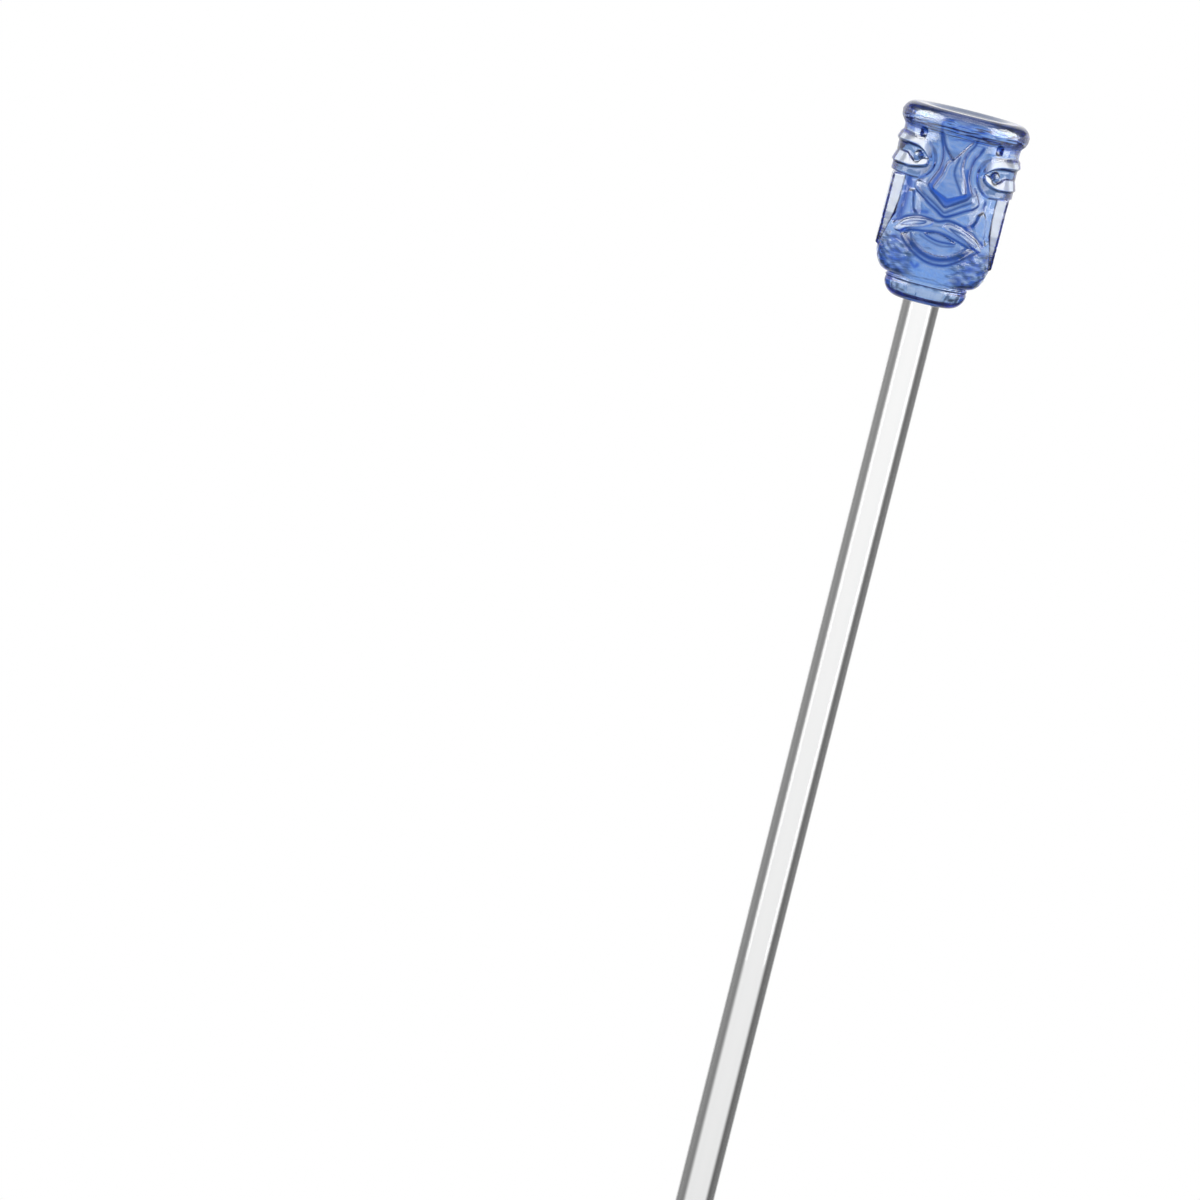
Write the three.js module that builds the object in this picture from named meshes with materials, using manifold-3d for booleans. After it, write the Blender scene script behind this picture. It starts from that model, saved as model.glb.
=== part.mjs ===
// A glass drink stirrer: a clear drawn rod with a fire-polished tip, and a pressed blue glass head in the
// shape of a little carved tumbler. The rod's upper end sits in a blind socket in the head's foot, where a
// thin sleeve of clear cured adhesive holds it.
// Millimetres, +Z up along the rod, the face looks along -Y, the origin is the lowest point of the tip.
import * as THREE from "three";
import { mergeVertices } from "three/addons/utils/BufferGeometryUtils.js";
import Module from "manifold-3d";

const wasm = await Module();
wasm.setup();

// The whole stirrer
const STIRRER_LENGTH = 190; // from the tip to the top of the head
const ROD_RADIUS = 2.5;
const ROD_TOP_BEVEL = 0.3; // ground edge at the end inside the socket

// The glued socket
const SOCKET_DEPTH = 8;
const BOND_THICKNESS = 0.25; // of adhesive, all round the rod and over its end
const FIT_GAP = 0.02; // left between touching solids

// The head's round body, bottom to top
const HEAD_HEIGHT = 25.5;
const WALL_RADIUS = 7.6;
const CHIN_INSET = 2.1; // how far the foot stands back from the wall
const CHIN_HEIGHT = 4;
const FOOT_HEIGHT = 3;
const FOOT_ROUND = 2.2;
const RIM_OVERHANG = 0.9;
const RIM_HEIGHT = 3.2;
const CROWN_LAND = 1.3; // flat ring on top, inside the rounded rim
const CROWN_DISH = 0.5; // how far the top sinks at its middle

// Carving in general
const EDGE_ROUND = 0.22; // softened upper edge of whatever is raised
const SINK = 1.2; // how deep a raised form runs into the body

// The eyes: on each side a low oval plate and a raised oval band, both from the face round to the back
const EYE_DROP = 3; // from the rim's underside to the middle of the eye opening
const EYE_OPENING_HEIGHT = 1.3;
const EYE_OPENING_HALF_LENGTH = 8; // along the wall, from the middle of the side
const UPPER_LID = 1.45;
const LOWER_LID = 1.65;
const LID_END = 0.7; // width of the band where it turns, beside the nose
const LID_LIFT = 0.85; // at each lid's lower edge
const LID_TOP_LIFT = 0.4; // at its upper one, so that the lids slope like shingles
const PLATE_MARGIN_ABOVE = 0.3;
const PLATE_MARGIN_BELOW = 1.35;
const PLATE_MARGIN_END = 0.75;
const PLATE_LIFT = 0.3;
const PUPIL_RADIUS = 0.82;
const PUPIL_REACH = 5.6; // along the wall, from the middle of the face
const PUPIL_DROP = 0.7; // below the middle of the opening, so that it rests on the lower lid
const BROW_PIT_RADIUS = 0.55;
const BROW_PIT_REACH = 5.4;
const BROW_PIT_DROP = 0.5; // below the rim's underside

// The nose: two arms come down from the rim, join, and flare to the nostrils
const NOSE_ARM_REACH = 2.75;
const NOSE_ARM_WIDTH = 0.85;
const NOSE_FORK_DROP = 2.85; // from the rim's underside to where the arms join
const NOSE_BRIDGE_HALF = 1.3;
const NOSE_BRIDGE_LENGTH = 2.3; // below the fork
const NOSTRIL_HALF = 2.15;
const NOSTRIL_DROP = 4.1; // below the fork
const NOSE_POINT = 1.1; // how far the middle hangs below the nostrils
const NOSE_LIFT_TOP = 0.45;
const NOSE_LIFT_TIP = 0.95;

// The moustache: a folded band under the nose
const MOUSTACHE_GAP = 0.95; // under the tip of the nose
const MOUSTACHE_WIDTH = 1.25;
const MOUSTACHE_REACH = 4.35;
const MOUSTACHE_RISE = 2.5;
const MOUSTACHE_LIFT = 0.5;

// The cheeks: three-sided facets between the moustache and the ears
const CHEEK_PEAK_REACH = 5.35;
const CHEEK_INNER_REACH = 4.4;
const CHEEK_OUTER_REACH = 7.1;
const CHEEK_PEAK_RISE = 5.1; // above the corners of the mouth
const CHEEK_INNER_RISE = 2.75;
const CHEEK_OUTER_RISE = 1.3;
const CHEEK_LIFT = 0.45;

// The mouth: two leaf-shaped upper lips, a sunk opening with a tongue, and a crescent lower lip
const MOUTH_RISE = 1.6; // from the top of the chin to the corners of the mouth
const MOUTH_HALF = 4.95;
const MOUTH_TOP = 1.2; // of the opening's upper arc over its corners
const MOUTH_BOTTOM = 2; // of its lower arc under them
const MOUTH_DEPTH = 0.4;
const TONGUE_HALF = 2.4;
const TONGUE_TOP = 0.75;
const TONGUE_BOTTOM = 0.1;
const TONGUE_STEP = 0.15; // left between the tongue and the level of the wall
const LIP_HALF = 6.55;
const LIP_INNER_REACH = 0.45;
const LIP_GAP = 0.15; // between the corners of the opening and the tips of the upper lip
const LIP_PEAK_REACH = 2.9;
const LIP_TOP = 2.45; // of the upper lip's arch over its tips
const LIP_UNDER = 1.5; // of its lower edge over its tips
const LIP_INNER_WIDTH = 0.55;
const LIP_EDGE = 0.15; // softened edge of the upper lip
const LIP_LIFT = 0.7;
const LOWER_LIP_BOTTOM = 3.2;
const LOWER_LIP_LIFT = 0.5;

// The ears: a flat flange down each side, with a slanted front and back, that narrows to the jaw
const EAR_LIFT = 0.2; // of its outer face over the wall
const EAR_HALF_DEPTH = 3.35; // of that outer face, front to back
const EAR_TIP_HALF_DEPTH = 1.5;
const EAR_TURN = 34; // degrees that its slanted front looks away from the face's own direction
const EAR_WAIST_RISE = 3.7; // from the top of the chin to where it starts to narrow
const EAR_TIP_DROP = 0.7; // from the top of the chin to its lower end

// Facets
const ROUND_STEPS = 64; // round the head and the rod
const ARC_STEPS = 8; // along a curved outline
const BEND_STEP = 1.6; // along the wall, of a carved form that is bent round it

// Radii and levels of the head, the levels over its underside
const footRadius = WALL_RADIUS - CHIN_INSET;
const rimRadius = WALL_RADIUS + RIM_OVERHANG;
const chinTop = FOOT_HEIGHT + CHIN_HEIGHT;
const rimBase = HEAD_HEIGHT - RIM_HEIGHT;
const eyeLevel = rimBase - EYE_DROP;
const mouthLevel = chinTop + MOUTH_RISE;
const forkLevel = rimBase - NOSE_FORK_DROP;
const nostrilLevel = forkLevel - NOSTRIL_DROP;
const noseTipLevel = nostrilLevel - NOSE_POINT;
const headBase = STIRRER_LENGTH - HEAD_HEIGHT;

const QUARTER_TURN = Math.PI / 2;

// The radius of the plain wall at a height: straight, with a quarter ellipse for the chin.
function wallRadius(height) {
  if (height >= chinTop) return WALL_RADIUS;
  const drop = Math.min((chinTop - height) / CHIN_HEIGHT, 1);
  return footRadius + CHIN_INSET * Math.sqrt(1 - drop * drop);
}

// A closed geometry as its shared points and its triangles.
function meshOf(geometry) {
  const bare = new THREE.BufferGeometry();
  bare.setAttribute("position", geometry.getAttribute("position"));
  bare.setIndex(geometry.getIndex());
  const merged = mergeVertices(bare, 1e-4);
  const position = merged.getAttribute("position");
  const index = merged.getIndex();
  const points = [];
  for (let i = 0; i < position.count; i++) points.push(new THREE.Vector3().fromBufferAttribute(position, i));
  const faces = [];
  for (let i = 0; i < index.count; i += 3) {
    const [a, b, c] = [index.getX(i), index.getX(i + 1), index.getX(i + 2)];
    if (a !== b && b !== c && c !== a) faces.push([a, b, c]);
  }
  return { points, faces };
}

// Splits edges at their middles, which neighbouring triangles share, until none runs further than BEND_STEP
// along the wall.
function refined({ points, faces }) {
  const middles = new Map();
  const middle = (a, b) => {
    const key = a < b ? `${a} ${b}` : `${b} ${a}`;
    if (!middles.has(key)) {
      middles.set(key, points.length);
      points.push(points[a].clone().add(points[b]).multiplyScalar(0.5));
    }
    return middles.get(key);
  };
  const open = [...faces];
  const done = [];
  while (open.length) {
    const [a, b, c] = open.pop();
    const turns = [[a, b, c], [b, c, a], [c, a, b]];
    const runs = turns.map(([from, to]) => Math.abs(points[from].x - points[to].x));
    const longest = Math.max(...runs);
    const [from, to, opposite] = turns[runs.indexOf(longest)];
    if (longest > BEND_STEP) {
      open.push([from, middle(from, to), opposite], [middle(from, to), to, opposite]);
    } else {
      done.push([a, b, c]);
    }
  }
  return { points, faces: done };
}

// A closed mesh as a solid that can be joined and cut.
function solidOf({ points, faces }) {
  const vertProperties = new Float32Array(points.flatMap((point) => point.toArray()));
  const triVerts = new Uint32Array(faces.flat());
  return new wasm.Manifold(new wasm.Mesh({ numProp: 3, vertProperties, triVerts }));
}

function solid(geometry) {
  return solidOf(meshOf(geometry));
}

// A solid as a mesh geometry with flat faces.
function geometryOf(shape) {
  const mesh = shape.getMesh();
  const geometry = new THREE.BufferGeometry();
  geometry.setAttribute("position", new THREE.BufferAttribute(mesh.vertProperties, 3));
  geometry.setIndex(new THREE.BufferAttribute(mesh.triVerts, 1));
  const flat = geometry.toNonIndexed();
  flat.computeVertexNormals();
  return flat;
}

// A profile of [radius, height] points turned about the Z axis.
function turned(points) {
  const profile = points.map(([radius, height]) => new THREE.Vector2(radius, height));
  return new THREE.LatheGeometry(profile, ROUND_STEPS).rotateX(QUARTER_TURN);
}

// Points on an arc of the given centre, radii and angles, both ends included.
function arc([x, y], [a, b], from, to, steps = ARC_STEPS) {
  return Array.from({ length: steps + 1 }, (_, i) => {
    const angle = THREE.MathUtils.lerp(from, to, i / steps);
    return [x + a * Math.cos(angle), y + b * Math.sin(angle)];
  });
}

// The arc through two corners at one level whose middle stands rise above them, from the first to the second.
function bow(fromX, toX, level, rise, steps = ARC_STEPS) {
  return Array.from({ length: steps + 1 }, (_, i) => {
    const t = i / steps;
    return [THREE.MathUtils.lerp(fromX, toX, t), level + rise * 4 * t * (1 - t)];
  });
}

// The outline mirrored in the middle line of the face, so that it still runs the same way round.
function mirrored(points) {
  return points.map(([x, y]) => [-x, y]).reverse();
}

function outline(points) {
  return new THREE.Shape(points.map(([x, y]) => new THREE.Vector2(x, y)));
}

// Bends a flat form round the head. Its x runs along the wall, y is the height, and z stands out of the wall.
// liftAt gives the share of z that counts at a height, and turn moves the form round the axis.
function wrapped(geometry, turn, liftAt = () => 1) {
  const mesh = refined(meshOf(geometry));
  for (const point of mesh.points) {
    const { x, y: height, z: out } = point;
    const radius = wallRadius(height) + (out > 0 ? out * liftAt(height) : out);
    const angle = x / WALL_RADIUS + turn;
    point.set(radius * Math.sin(angle), -radius * Math.cos(angle), height);
  }
  return solidOf(mesh);
}

// A carved form: the outline stands lift out of the wall with a softened edge, and runs into the body.
function raised(shape, lift, { turn = 0, liftAt, edge = EDGE_ROUND } = {}) {
  const flat = new THREE.ExtrudeGeometry(shape, {
    depth: SINK + lift - 2 * edge,
    bevelThickness: edge,
    bevelSize: edge,
    bevelOffset: -edge,
    bevelSegments: 1,
  }).translate(0, 0, edge - SINK);
  return wrapped(flat, turn, liftAt);
}

// The tool for a sunk form: it reaches depth into the wall and stands clear of everything raised.
function sunk(shape, depth) {
  const flat = new THREE.ExtrudeGeometry(shape, { depth: depth + RIM_OVERHANG, bevelEnabled: false });
  return wrapped(flat.translate(0, 0, -depth), 0);
}

// A ball whose centre lies on the plain wall.
function ball(radius, reach, height) {
  const angle = reach / WALL_RADIUS;
  const distance = wallRadius(height);
  const geometry = new THREE.SphereGeometry(radius, 2 * ARC_STEPS, ARC_STEPS);
  geometry.rotateX(QUARTER_TURN);
  return solid(geometry.translate(distance * Math.sin(angle), -distance * Math.cos(angle), height));
}

// The head's plain round body: foot, chin, wall, rounded rim and dished top.
function roundBody() {
  const beadRadius = RIM_HEIGHT / 2;
  const beadCentre = [rimRadius - beadRadius, rimBase + beadRadius];
  const beadStart = -Math.acos(Math.max((WALL_RADIUS - beadCentre[0]) / beadRadius, -1));
  const landInside = beadCentre[0] - CROWN_LAND;
  const dish = bow(landInside, -landInside, HEAD_HEIGHT, -CROWN_DISH).slice(1, ARC_STEPS / 2 + 1);
  const chin = arc([footRadius, chinTop], [CHIN_INSET, CHIN_HEIGHT], -QUARTER_TURN, 0);
  const round = Math.min(FOOT_ROUND, FOOT_HEIGHT);
  return solid(turned([
    [0, 0],
    ...arc([footRadius - round, round], [round, round], -QUARTER_TURN, 0),
    ...chin,
    ...arc(beadCentre, [beadRadius, beadRadius], beadStart, QUARTER_TURN, 10),
    [landInside, HEAD_HEIGHT],
    ...dish,
  ]));
}

// An oval with round ends, centred on the middle of a side, between two heights.
function oval(halfLength, low, high) {
  const radius = (high - low) / 2;
  const middle = (low + high) / 2;
  const straight = halfLength - radius;
  return [
    ...arc([straight, middle], [radius, radius], -QUARTER_TURN, QUARTER_TURN),
    ...arc([-straight, middle], [radius, radius], QUARTER_TURN, 3 * QUARTER_TURN),
  ];
}

// The eye of one side, plate and band, and the ear under it.
function sideForms(turn) {
  const openLow = eyeLevel - EYE_OPENING_HEIGHT / 2;
  const openHigh = eyeLevel + EYE_OPENING_HEIGHT / 2;
  const bandLow = openLow - LOWER_LID;
  const bandHigh = openHigh + UPPER_LID;
  const bandHalf = EYE_OPENING_HALF_LENGTH + LID_END;
  const band = outline(oval(bandHalf, bandLow, bandHigh));
  band.holes.push(new THREE.Path(outline(oval(EYE_OPENING_HALF_LENGTH, openLow, openHigh)).getPoints()));
  const lidTop = LID_TOP_LIFT / LID_LIFT;
  const share = (height, from, to) => {
    return THREE.MathUtils.clamp(THREE.MathUtils.mapLinear(height, from, to, lidTop, 1), lidTop, 1);
  };
  const shingle = (height) => {
    if (height > openHigh) return share(height, bandHigh, openHigh);
    if (height > openLow) return share(height, openLow, openHigh);
    return share(height, openLow, bandLow);
  };
  const plateLow = bandLow - PLATE_MARGIN_BELOW;
  const plate = outline(oval(bandHalf + PLATE_MARGIN_END, plateLow, bandHigh + PLATE_MARGIN_ABOVE));
  return [
    raised(plate, PLATE_LIFT, { turn }),
    raised(band, LID_LIFT, { turn, liftAt: shingle }),
    ear(plateLow).rotate([0, 0, THREE.MathUtils.radToDeg(turn) - 90]),
  ];
}

// The ear on the right of the face: an upright bar in the wall, thickened to the front and the back.
function ear(plateLow) {
  const outer = WALL_RADIUS + EAR_LIFT;
  const inner = WALL_RADIUS - 2 * SINK;
  const top = plateLow + EDGE_ROUND;
  const waist = chinTop + EAR_WAIST_RISE;
  const tip = chinTop - EAR_TIP_DROP;
  const upward = [tip, waist, top].map((level) => [outer, level]);
  const downward = [top, waist, tip].map((level) => [inner, level]);
  const bevel = { bevelSize: EDGE_ROUND, bevelOffset: -EDGE_ROUND, bevelThickness: EDGE_ROUND };
  const depth = 2 * (EAR_HALF_DEPTH - EDGE_ROUND);
  const shape = outline([...upward, ...downward]);
  const bar = new THREE.ExtrudeGeometry(shape, { depth, ...bevel, bevelSegments: 2 });
  const mesh = meshOf(bar.translate(0, 0, -depth / 2));
  const slant = Math.tan(THREE.MathUtils.degToRad(EAR_TURN));
  for (const point of mesh.points) {
    const { x, y: height, z: side } = point;
    const narrow = THREE.MathUtils.clamp((waist - height) / (waist - tip), 0, 1);
    const half = THREE.MathUtils.lerp(EAR_HALF_DEPTH, EAR_TIP_HALF_DEPTH, narrow) + (outer - x) * slant;
    point.set(x, (-side / EAR_HALF_DEPTH) * half, height);
  }
  return solidOf(mesh);
}

// The nose with its two arms, one outline that forks round the sunk triangle of the brow.
function nose() {
  const top = rimBase + EDGE_ROUND;
  const side = [
    [0, noseTipLevel],
    [NOSTRIL_HALF, nostrilLevel],
    [NOSTRIL_HALF, nostrilLevel + NOSE_POINT / 2],
    [NOSE_BRIDGE_HALF, forkLevel - NOSE_BRIDGE_LENGTH],
    [NOSE_BRIDGE_HALF, forkLevel],
    [NOSE_ARM_REACH, top],
    [NOSE_ARM_REACH - NOSE_ARM_WIDTH, top],
    [0, forkLevel],
  ];
  const shape = outline([...side, ...mirrored(side.slice(1, -1))]);
  const liftAt = (height) => {
    const t = THREE.MathUtils.clamp((height - noseTipLevel) / (forkLevel - noseTipLevel), 0, 1);
    return THREE.MathUtils.lerp(1, NOSE_LIFT_TOP / NOSE_LIFT_TIP, t);
  };
  return raised(shape, NOSE_LIFT_TIP, { liftAt });
}

// The folded band under the nose.
function moustache() {
  const fold = noseTipLevel - MOUSTACHE_GAP;
  const side = [
    [0, fold - MOUSTACHE_WIDTH],
    [MOUSTACHE_REACH, fold + MOUSTACHE_RISE - MOUSTACHE_WIDTH],
    [MOUSTACHE_REACH - EDGE_ROUND, fold + MOUSTACHE_RISE],
    [0, fold],
  ];
  return raised(outline([...side, ...mirrored(side.slice(1, -1))]), MOUSTACHE_LIFT);
}

// The two cheek facets.
function cheeks() {
  const right = [
    [CHEEK_INNER_REACH, mouthLevel + CHEEK_INNER_RISE],
    [CHEEK_OUTER_REACH, mouthLevel + CHEEK_OUTER_RISE],
    [CHEEK_PEAK_REACH, mouthLevel + CHEEK_PEAK_RISE],
  ];
  return [right, mirrored(right)].map((points) => raised(outline(points), CHEEK_LIFT));
}

// The leaf of the upper lip on the right of the face: it arches over the opening and down to its corner.
function upperLip() {
  const tip = mouthLevel + LIP_GAP;
  const lower = bow(-MOUTH_HALF, MOUTH_HALF, tip, LIP_UNDER).slice(ARC_STEPS / 2 + 1);
  const upper = arc([LIP_PEAK_REACH, tip], [LIP_HALF - LIP_PEAK_REACH, LIP_TOP], 0, QUARTER_TURN);
  const innerLevel = tip + LIP_UNDER;
  return [[LIP_INNER_REACH, innerLevel], ...lower, ...upper, [LIP_INNER_REACH, innerLevel + LIP_INNER_WIDTH]];
}

// The crescent of the lower lip, hung between the corners of the upper one.
function lowerLip() {
  const outer = bow(-LIP_HALF, LIP_HALF, mouthLevel, -LOWER_LIP_BOTTOM, 2 * ARC_STEPS);
  const inner = bow(MOUTH_HALF, -MOUTH_HALF, mouthLevel, -MOUTH_BOTTOM, 2 * ARC_STEPS);
  return outline([...outer, ...inner]);
}

// A lens between two bows that share their corners.
function lens(half, level, top, bottom) {
  const upper = bow(half, -half, level, top);
  const lower = bow(-half, half, level, -bottom);
  return outline([...lower, ...upper.slice(1, -1)]);
}

// The sunk mouth and the tongue that lies in it.
function openMouth(head) {
  const opening = sunk(lens(MOUTH_HALF, mouthLevel, MOUTH_TOP, MOUTH_BOTTOM), MOUTH_DEPTH);
  const tongueShape = lens(TONGUE_HALF, mouthLevel, TONGUE_TOP, TONGUE_BOTTOM);
  const tongue = raised(tongueShape, -TONGUE_STEP, { edge: TONGUE_STEP });
  return head.subtract(opening).add(tongue);
}

// The blue pressed head: the face is carved on its front, and its back is left plain.
function head() {
  const leaf = upperLip();
  const pitLevel = rimBase - BROW_PIT_DROP;
  const raisedForms = [
    ...sideForms(QUARTER_TURN),
    ...sideForms(-QUARTER_TURN),
    nose(),
    moustache(),
    ...cheeks(),
    raised(outline(leaf), LIP_LIFT, { edge: LIP_EDGE }),
    raised(outline(mirrored(leaf)), LIP_LIFT, { edge: LIP_EDGE }),
    raised(lowerLip(), LOWER_LIP_LIFT),
    ball(PUPIL_RADIUS, PUPIL_REACH, eyeLevel - PUPIL_DROP),
    ball(PUPIL_RADIUS, -PUPIL_REACH, eyeLevel - PUPIL_DROP),
  ];
  let shape = roundBody();
  for (const form of raisedForms) shape = shape.add(form);
  for (const reach of [BROW_PIT_REACH, -BROW_PIT_REACH]) {
    shape = shape.subtract(ball(BROW_PIT_RADIUS, reach, pitLevel));
  }
  shape = openMouth(shape);
  const socketRadius = ROD_RADIUS + BOND_THICKNESS;
  const socket = solid(turned([
    [0, -SINK],
    [socketRadius, -SINK],
    [socketRadius, SOCKET_DEPTH],
    [0, SOCKET_DEPTH],
  ]));
  return shape.subtract(socket);
}

// The clear rod, with a melted round tip and a square upper end inside the socket.
function rod() {
  const top = headBase + SOCKET_DEPTH - BOND_THICKNESS;
  return turned([
    ...arc([0, ROD_RADIUS], [ROD_RADIUS, ROD_RADIUS], -QUARTER_TURN, 0, 10),
    [ROD_RADIUS, top - ROD_TOP_BEVEL],
    [ROD_RADIUS - ROD_TOP_BEVEL, top],
    [0, top],
  ]);
}

// The cured adhesive: a sleeve round the rod's end, closed over its top.
function bond() {
  const inner = ROD_RADIUS + FIT_GAP;
  const outer = ROD_RADIUS + BOND_THICKNESS - FIT_GAP;
  const ceiling = SOCKET_DEPTH - FIT_GAP;
  const rodEnd = SOCKET_DEPTH - BOND_THICKNESS + FIT_GAP;
  return turned([
    [0, rodEnd],
    [inner, rodEnd],
    [inner, 0],
    [outer, 0],
    [outer, ceiling],
    [0, ceiling],
  ]);
}

function piece(name, geometry, material, height = 0) {
  const mesh = new THREE.Mesh(geometry, new THREE.MeshStandardMaterial({ metalness: 0, ...material }));
  mesh.name = name;
  mesh.position.z = height;
  return mesh;
}

const blueGlass = { color: 0x5a86d8, roughness: 0.06, transparent: true, opacity: 0.7 };
const clearGlass = { color: 0xf4f7f8, roughness: 0.03, transparent: true, opacity: 0.35 };
const clearAdhesive = { color: 0xeef2f4, roughness: 0.12, transparent: true, opacity: 0.35 };

const stirrer = new THREE.Group();
stirrer.add(
  piece("tiki_head", geometryOf(head()), blueGlass, headBase),
  piece("stirring_rod", rod(), clearGlass),
  piece("adhesive_bond", bond(), clearAdhesive, headBase),
);
export default stirrer;
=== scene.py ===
import math

import bpy
import numpy as np
from mathutils import Matrix, Vector


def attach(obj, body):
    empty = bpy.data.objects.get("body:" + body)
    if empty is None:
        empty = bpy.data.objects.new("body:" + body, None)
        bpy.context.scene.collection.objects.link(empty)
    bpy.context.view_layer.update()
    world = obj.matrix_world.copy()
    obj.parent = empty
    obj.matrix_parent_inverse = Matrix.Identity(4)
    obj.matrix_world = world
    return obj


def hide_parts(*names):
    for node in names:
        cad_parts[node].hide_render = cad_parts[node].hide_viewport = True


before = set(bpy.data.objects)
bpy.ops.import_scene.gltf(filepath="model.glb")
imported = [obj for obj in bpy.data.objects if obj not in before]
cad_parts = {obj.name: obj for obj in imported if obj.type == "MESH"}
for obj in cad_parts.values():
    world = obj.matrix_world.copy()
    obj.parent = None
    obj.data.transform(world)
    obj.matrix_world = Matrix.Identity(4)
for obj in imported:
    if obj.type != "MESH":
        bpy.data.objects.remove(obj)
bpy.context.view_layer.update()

# Lengths are in millimetres here, and one of them is this much in the scene
MM = 0.001

# Rod
LENGTH = 190.0
ROD_RADIUS = 2.5
TIP_RADIUS = 2.5

# Head, measured over its underside
HEAD_HEIGHT = 25.5
WALL_RADIUS = 7.6
FOOT_RADIUS = 5.5
FOOT_ROUND = 2.2
FOOT_HEIGHT = 3.0
CHIN_TOP = 7.0
RIM_RADIUS = 8.5
BEAD_RADIUS = 1.6
CROWN_LAND = 1.3
CROWN_DISH = 0.5
HEAD_BASE = LENGTH - HEAD_HEIGHT
FRONT_COLUMNS = 360
BACK_COLUMNS = 66
ROW_STEP = 0.108


# Curves and distances that the relief is drawn with

def smooth_curve(points, closed=False, steps=6):
    """A round line through the points, as an array of finer points."""
    p = np.array(points, float)
    count = len(p)
    out = []
    for i in range(count if closed else count - 1):
        if closed:
            a, b, c, d = (p[(i + k) % count] for k in (-1, 0, 1, 2))
        else:
            a, b, c, d = (p[min(max(i + k, 0), count - 1)] for k in (-1, 0, 1, 2))
        for t in np.arange(steps) / steps:
            out.append(
                0.5 * (2 * b + (c - a) * t + (2 * a - 5 * b + 4 * c - d) * t**2
                       + (3 * b - a - 3 * c + d) * t**3)
            )
    if not closed:
        out.append(p[-1])
    return np.array(out)


def line_distance(points, s, z, closed=False):
    """How far each place is from a line through the points."""
    p = np.array(points, float)
    q = np.roll(p, -1, 0) if closed else p[1:]
    best = np.full(s.shape, 1e9)
    for a, b in zip(p if closed else p[:-1], q):
        edge = b - a
        t = ((s - a[0]) * edge[0] + (z - a[1]) * edge[1]) / max(edge @ edge, 1e-12)
        t = np.clip(t, 0, 1)
        best = np.minimum(best, np.hypot(s - a[0] - t * edge[0], z - a[1] - t * edge[1]))
    return best


def depth_inside(points, s, z):
    """How deep each place lies inside an outline, negative outside it."""
    p = np.array(points, float)
    inside = np.zeros(s.shape, bool)
    for a, b in zip(p, np.roll(p, -1, 0)):
        if a[1] == b[1]:
            continue
        crosses = (a[1] > z) != (b[1] > z)
        inside ^= crosses & (s < a[0] + (z - a[1]) * (b[0] - a[0]) / (b[1] - a[1]))
    distance = line_distance(p, s, z, closed=True)
    return np.where(inside, distance, -distance)


def ramp(depth, width=0.3):
    """0 to 1 across an edge of this width, centred on depth 0."""
    t = np.clip(depth / width + 0.5, 0, 1)
    return t * t * (3 - 2 * t)


def raised(base, height, depth, width=0.3):
    """base with a plateau of that height where depth is positive."""
    w = ramp(depth, width)
    return base * (1 - w) + height * w


def groove(points, s, z, deep, wide):
    """A rounded channel along a line."""
    d = line_distance(points, s, z)
    return -deep * np.exp(-((d / (wide * 0.6)) ** 2))


def seeded_noise(seed, s, z, size, octaves=2):
    """Soft bumps of about that size that close up round the head."""
    rng = np.random.default_rng(seed)
    total = np.zeros(s.shape)
    around = 2 * math.pi * WALL_RADIUS
    for octave in range(octaves):
        for _ in range(14):
            turns = rng.integers(-int(around / size), int(around / size) + 1)
            rise = rng.normal(0, 1.0 / size)
            phase = rng.uniform(0, 2 * math.pi)
            total += np.sin(2 * math.pi * (turns * s / around + rise * z) + phase) * 0.5**octave
        size *= 0.5
    return total / 5.3


# Head

def wall_radius(z):
    """Radius of the plain body at a height: foot, chin and wall."""
    foot = np.where(
        z < FOOT_ROUND,
        FOOT_RADIUS - FOOT_ROUND + np.sqrt(np.clip(FOOT_ROUND**2 - (FOOT_ROUND - z) ** 2, 0, None)),
        FOOT_RADIUS,
    )
    rise = np.clip((z - FOOT_HEIGHT) / (CHIN_TOP - FOOT_HEIGHT), 0, 1)
    chin = FOOT_RADIUS + (WALL_RADIUS - FOOT_RADIUS) * np.sqrt(1 - (1 - rise) ** 2)
    return np.where(z < FOOT_HEIGHT, foot, chin)


def drawn(points):
    """Places on the head, from how far across and up they are seen from the front."""
    out = []
    for x, height in points:
        radius = WALL_RADIUS
        if height < FOOT_ROUND:
            radius = FOOT_RADIUS - FOOT_ROUND + math.sqrt(FOOT_ROUND**2 - (FOOT_ROUND - height) ** 2)
        elif height < CHIN_TOP:
            radius = float(wall_radius(np.array([height]))[0])
        turn = math.asin(max(-1, min(1, x / radius)))
        fall = math.cos(turn) * radius / WALL_RADIUS
        out.append((WALL_RADIUS * turn - 0.2 * math.cos(turn), height - 0.27 + 0.47 * fall))
    return out


def stroke_distance(points, s, z):
    line = drawn(points)
    if len(line) > 2:
        line = smooth_curve(line, steps=4)
    return line_distance(line, s, z)


def stroke(points, s, z, wide):
    """1 along a drawn line, falling to nothing beside it."""
    return np.exp(-((stroke_distance(points, s, z) / wide) ** 2))


# Eyes, brow pits and ears: along the wall from the face's middle line, and over the head's underside
EYE_LEVEL = 18.6
EYE_SKEW = 0.2
BALL_RADIUS = 0.78
BALL_REACH = 5.6
SIDE = WALL_RADIUS * math.pi / 2
BROW_PITS = [(-5.58, 22.0), (5.25, 21.93)]
PIT_HALF_WIDTH = 0.58
PIT_HALF_HEIGHT = 0.64
PIT_DEPTH = 0.45
EAR_TURN = math.radians(34)
EAR_REACH = WALL_RADIUS + 0.2
EAR_TIP = 6.3
EAR_WAIST = 10.7
EAR_TOP = 15.87


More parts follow.
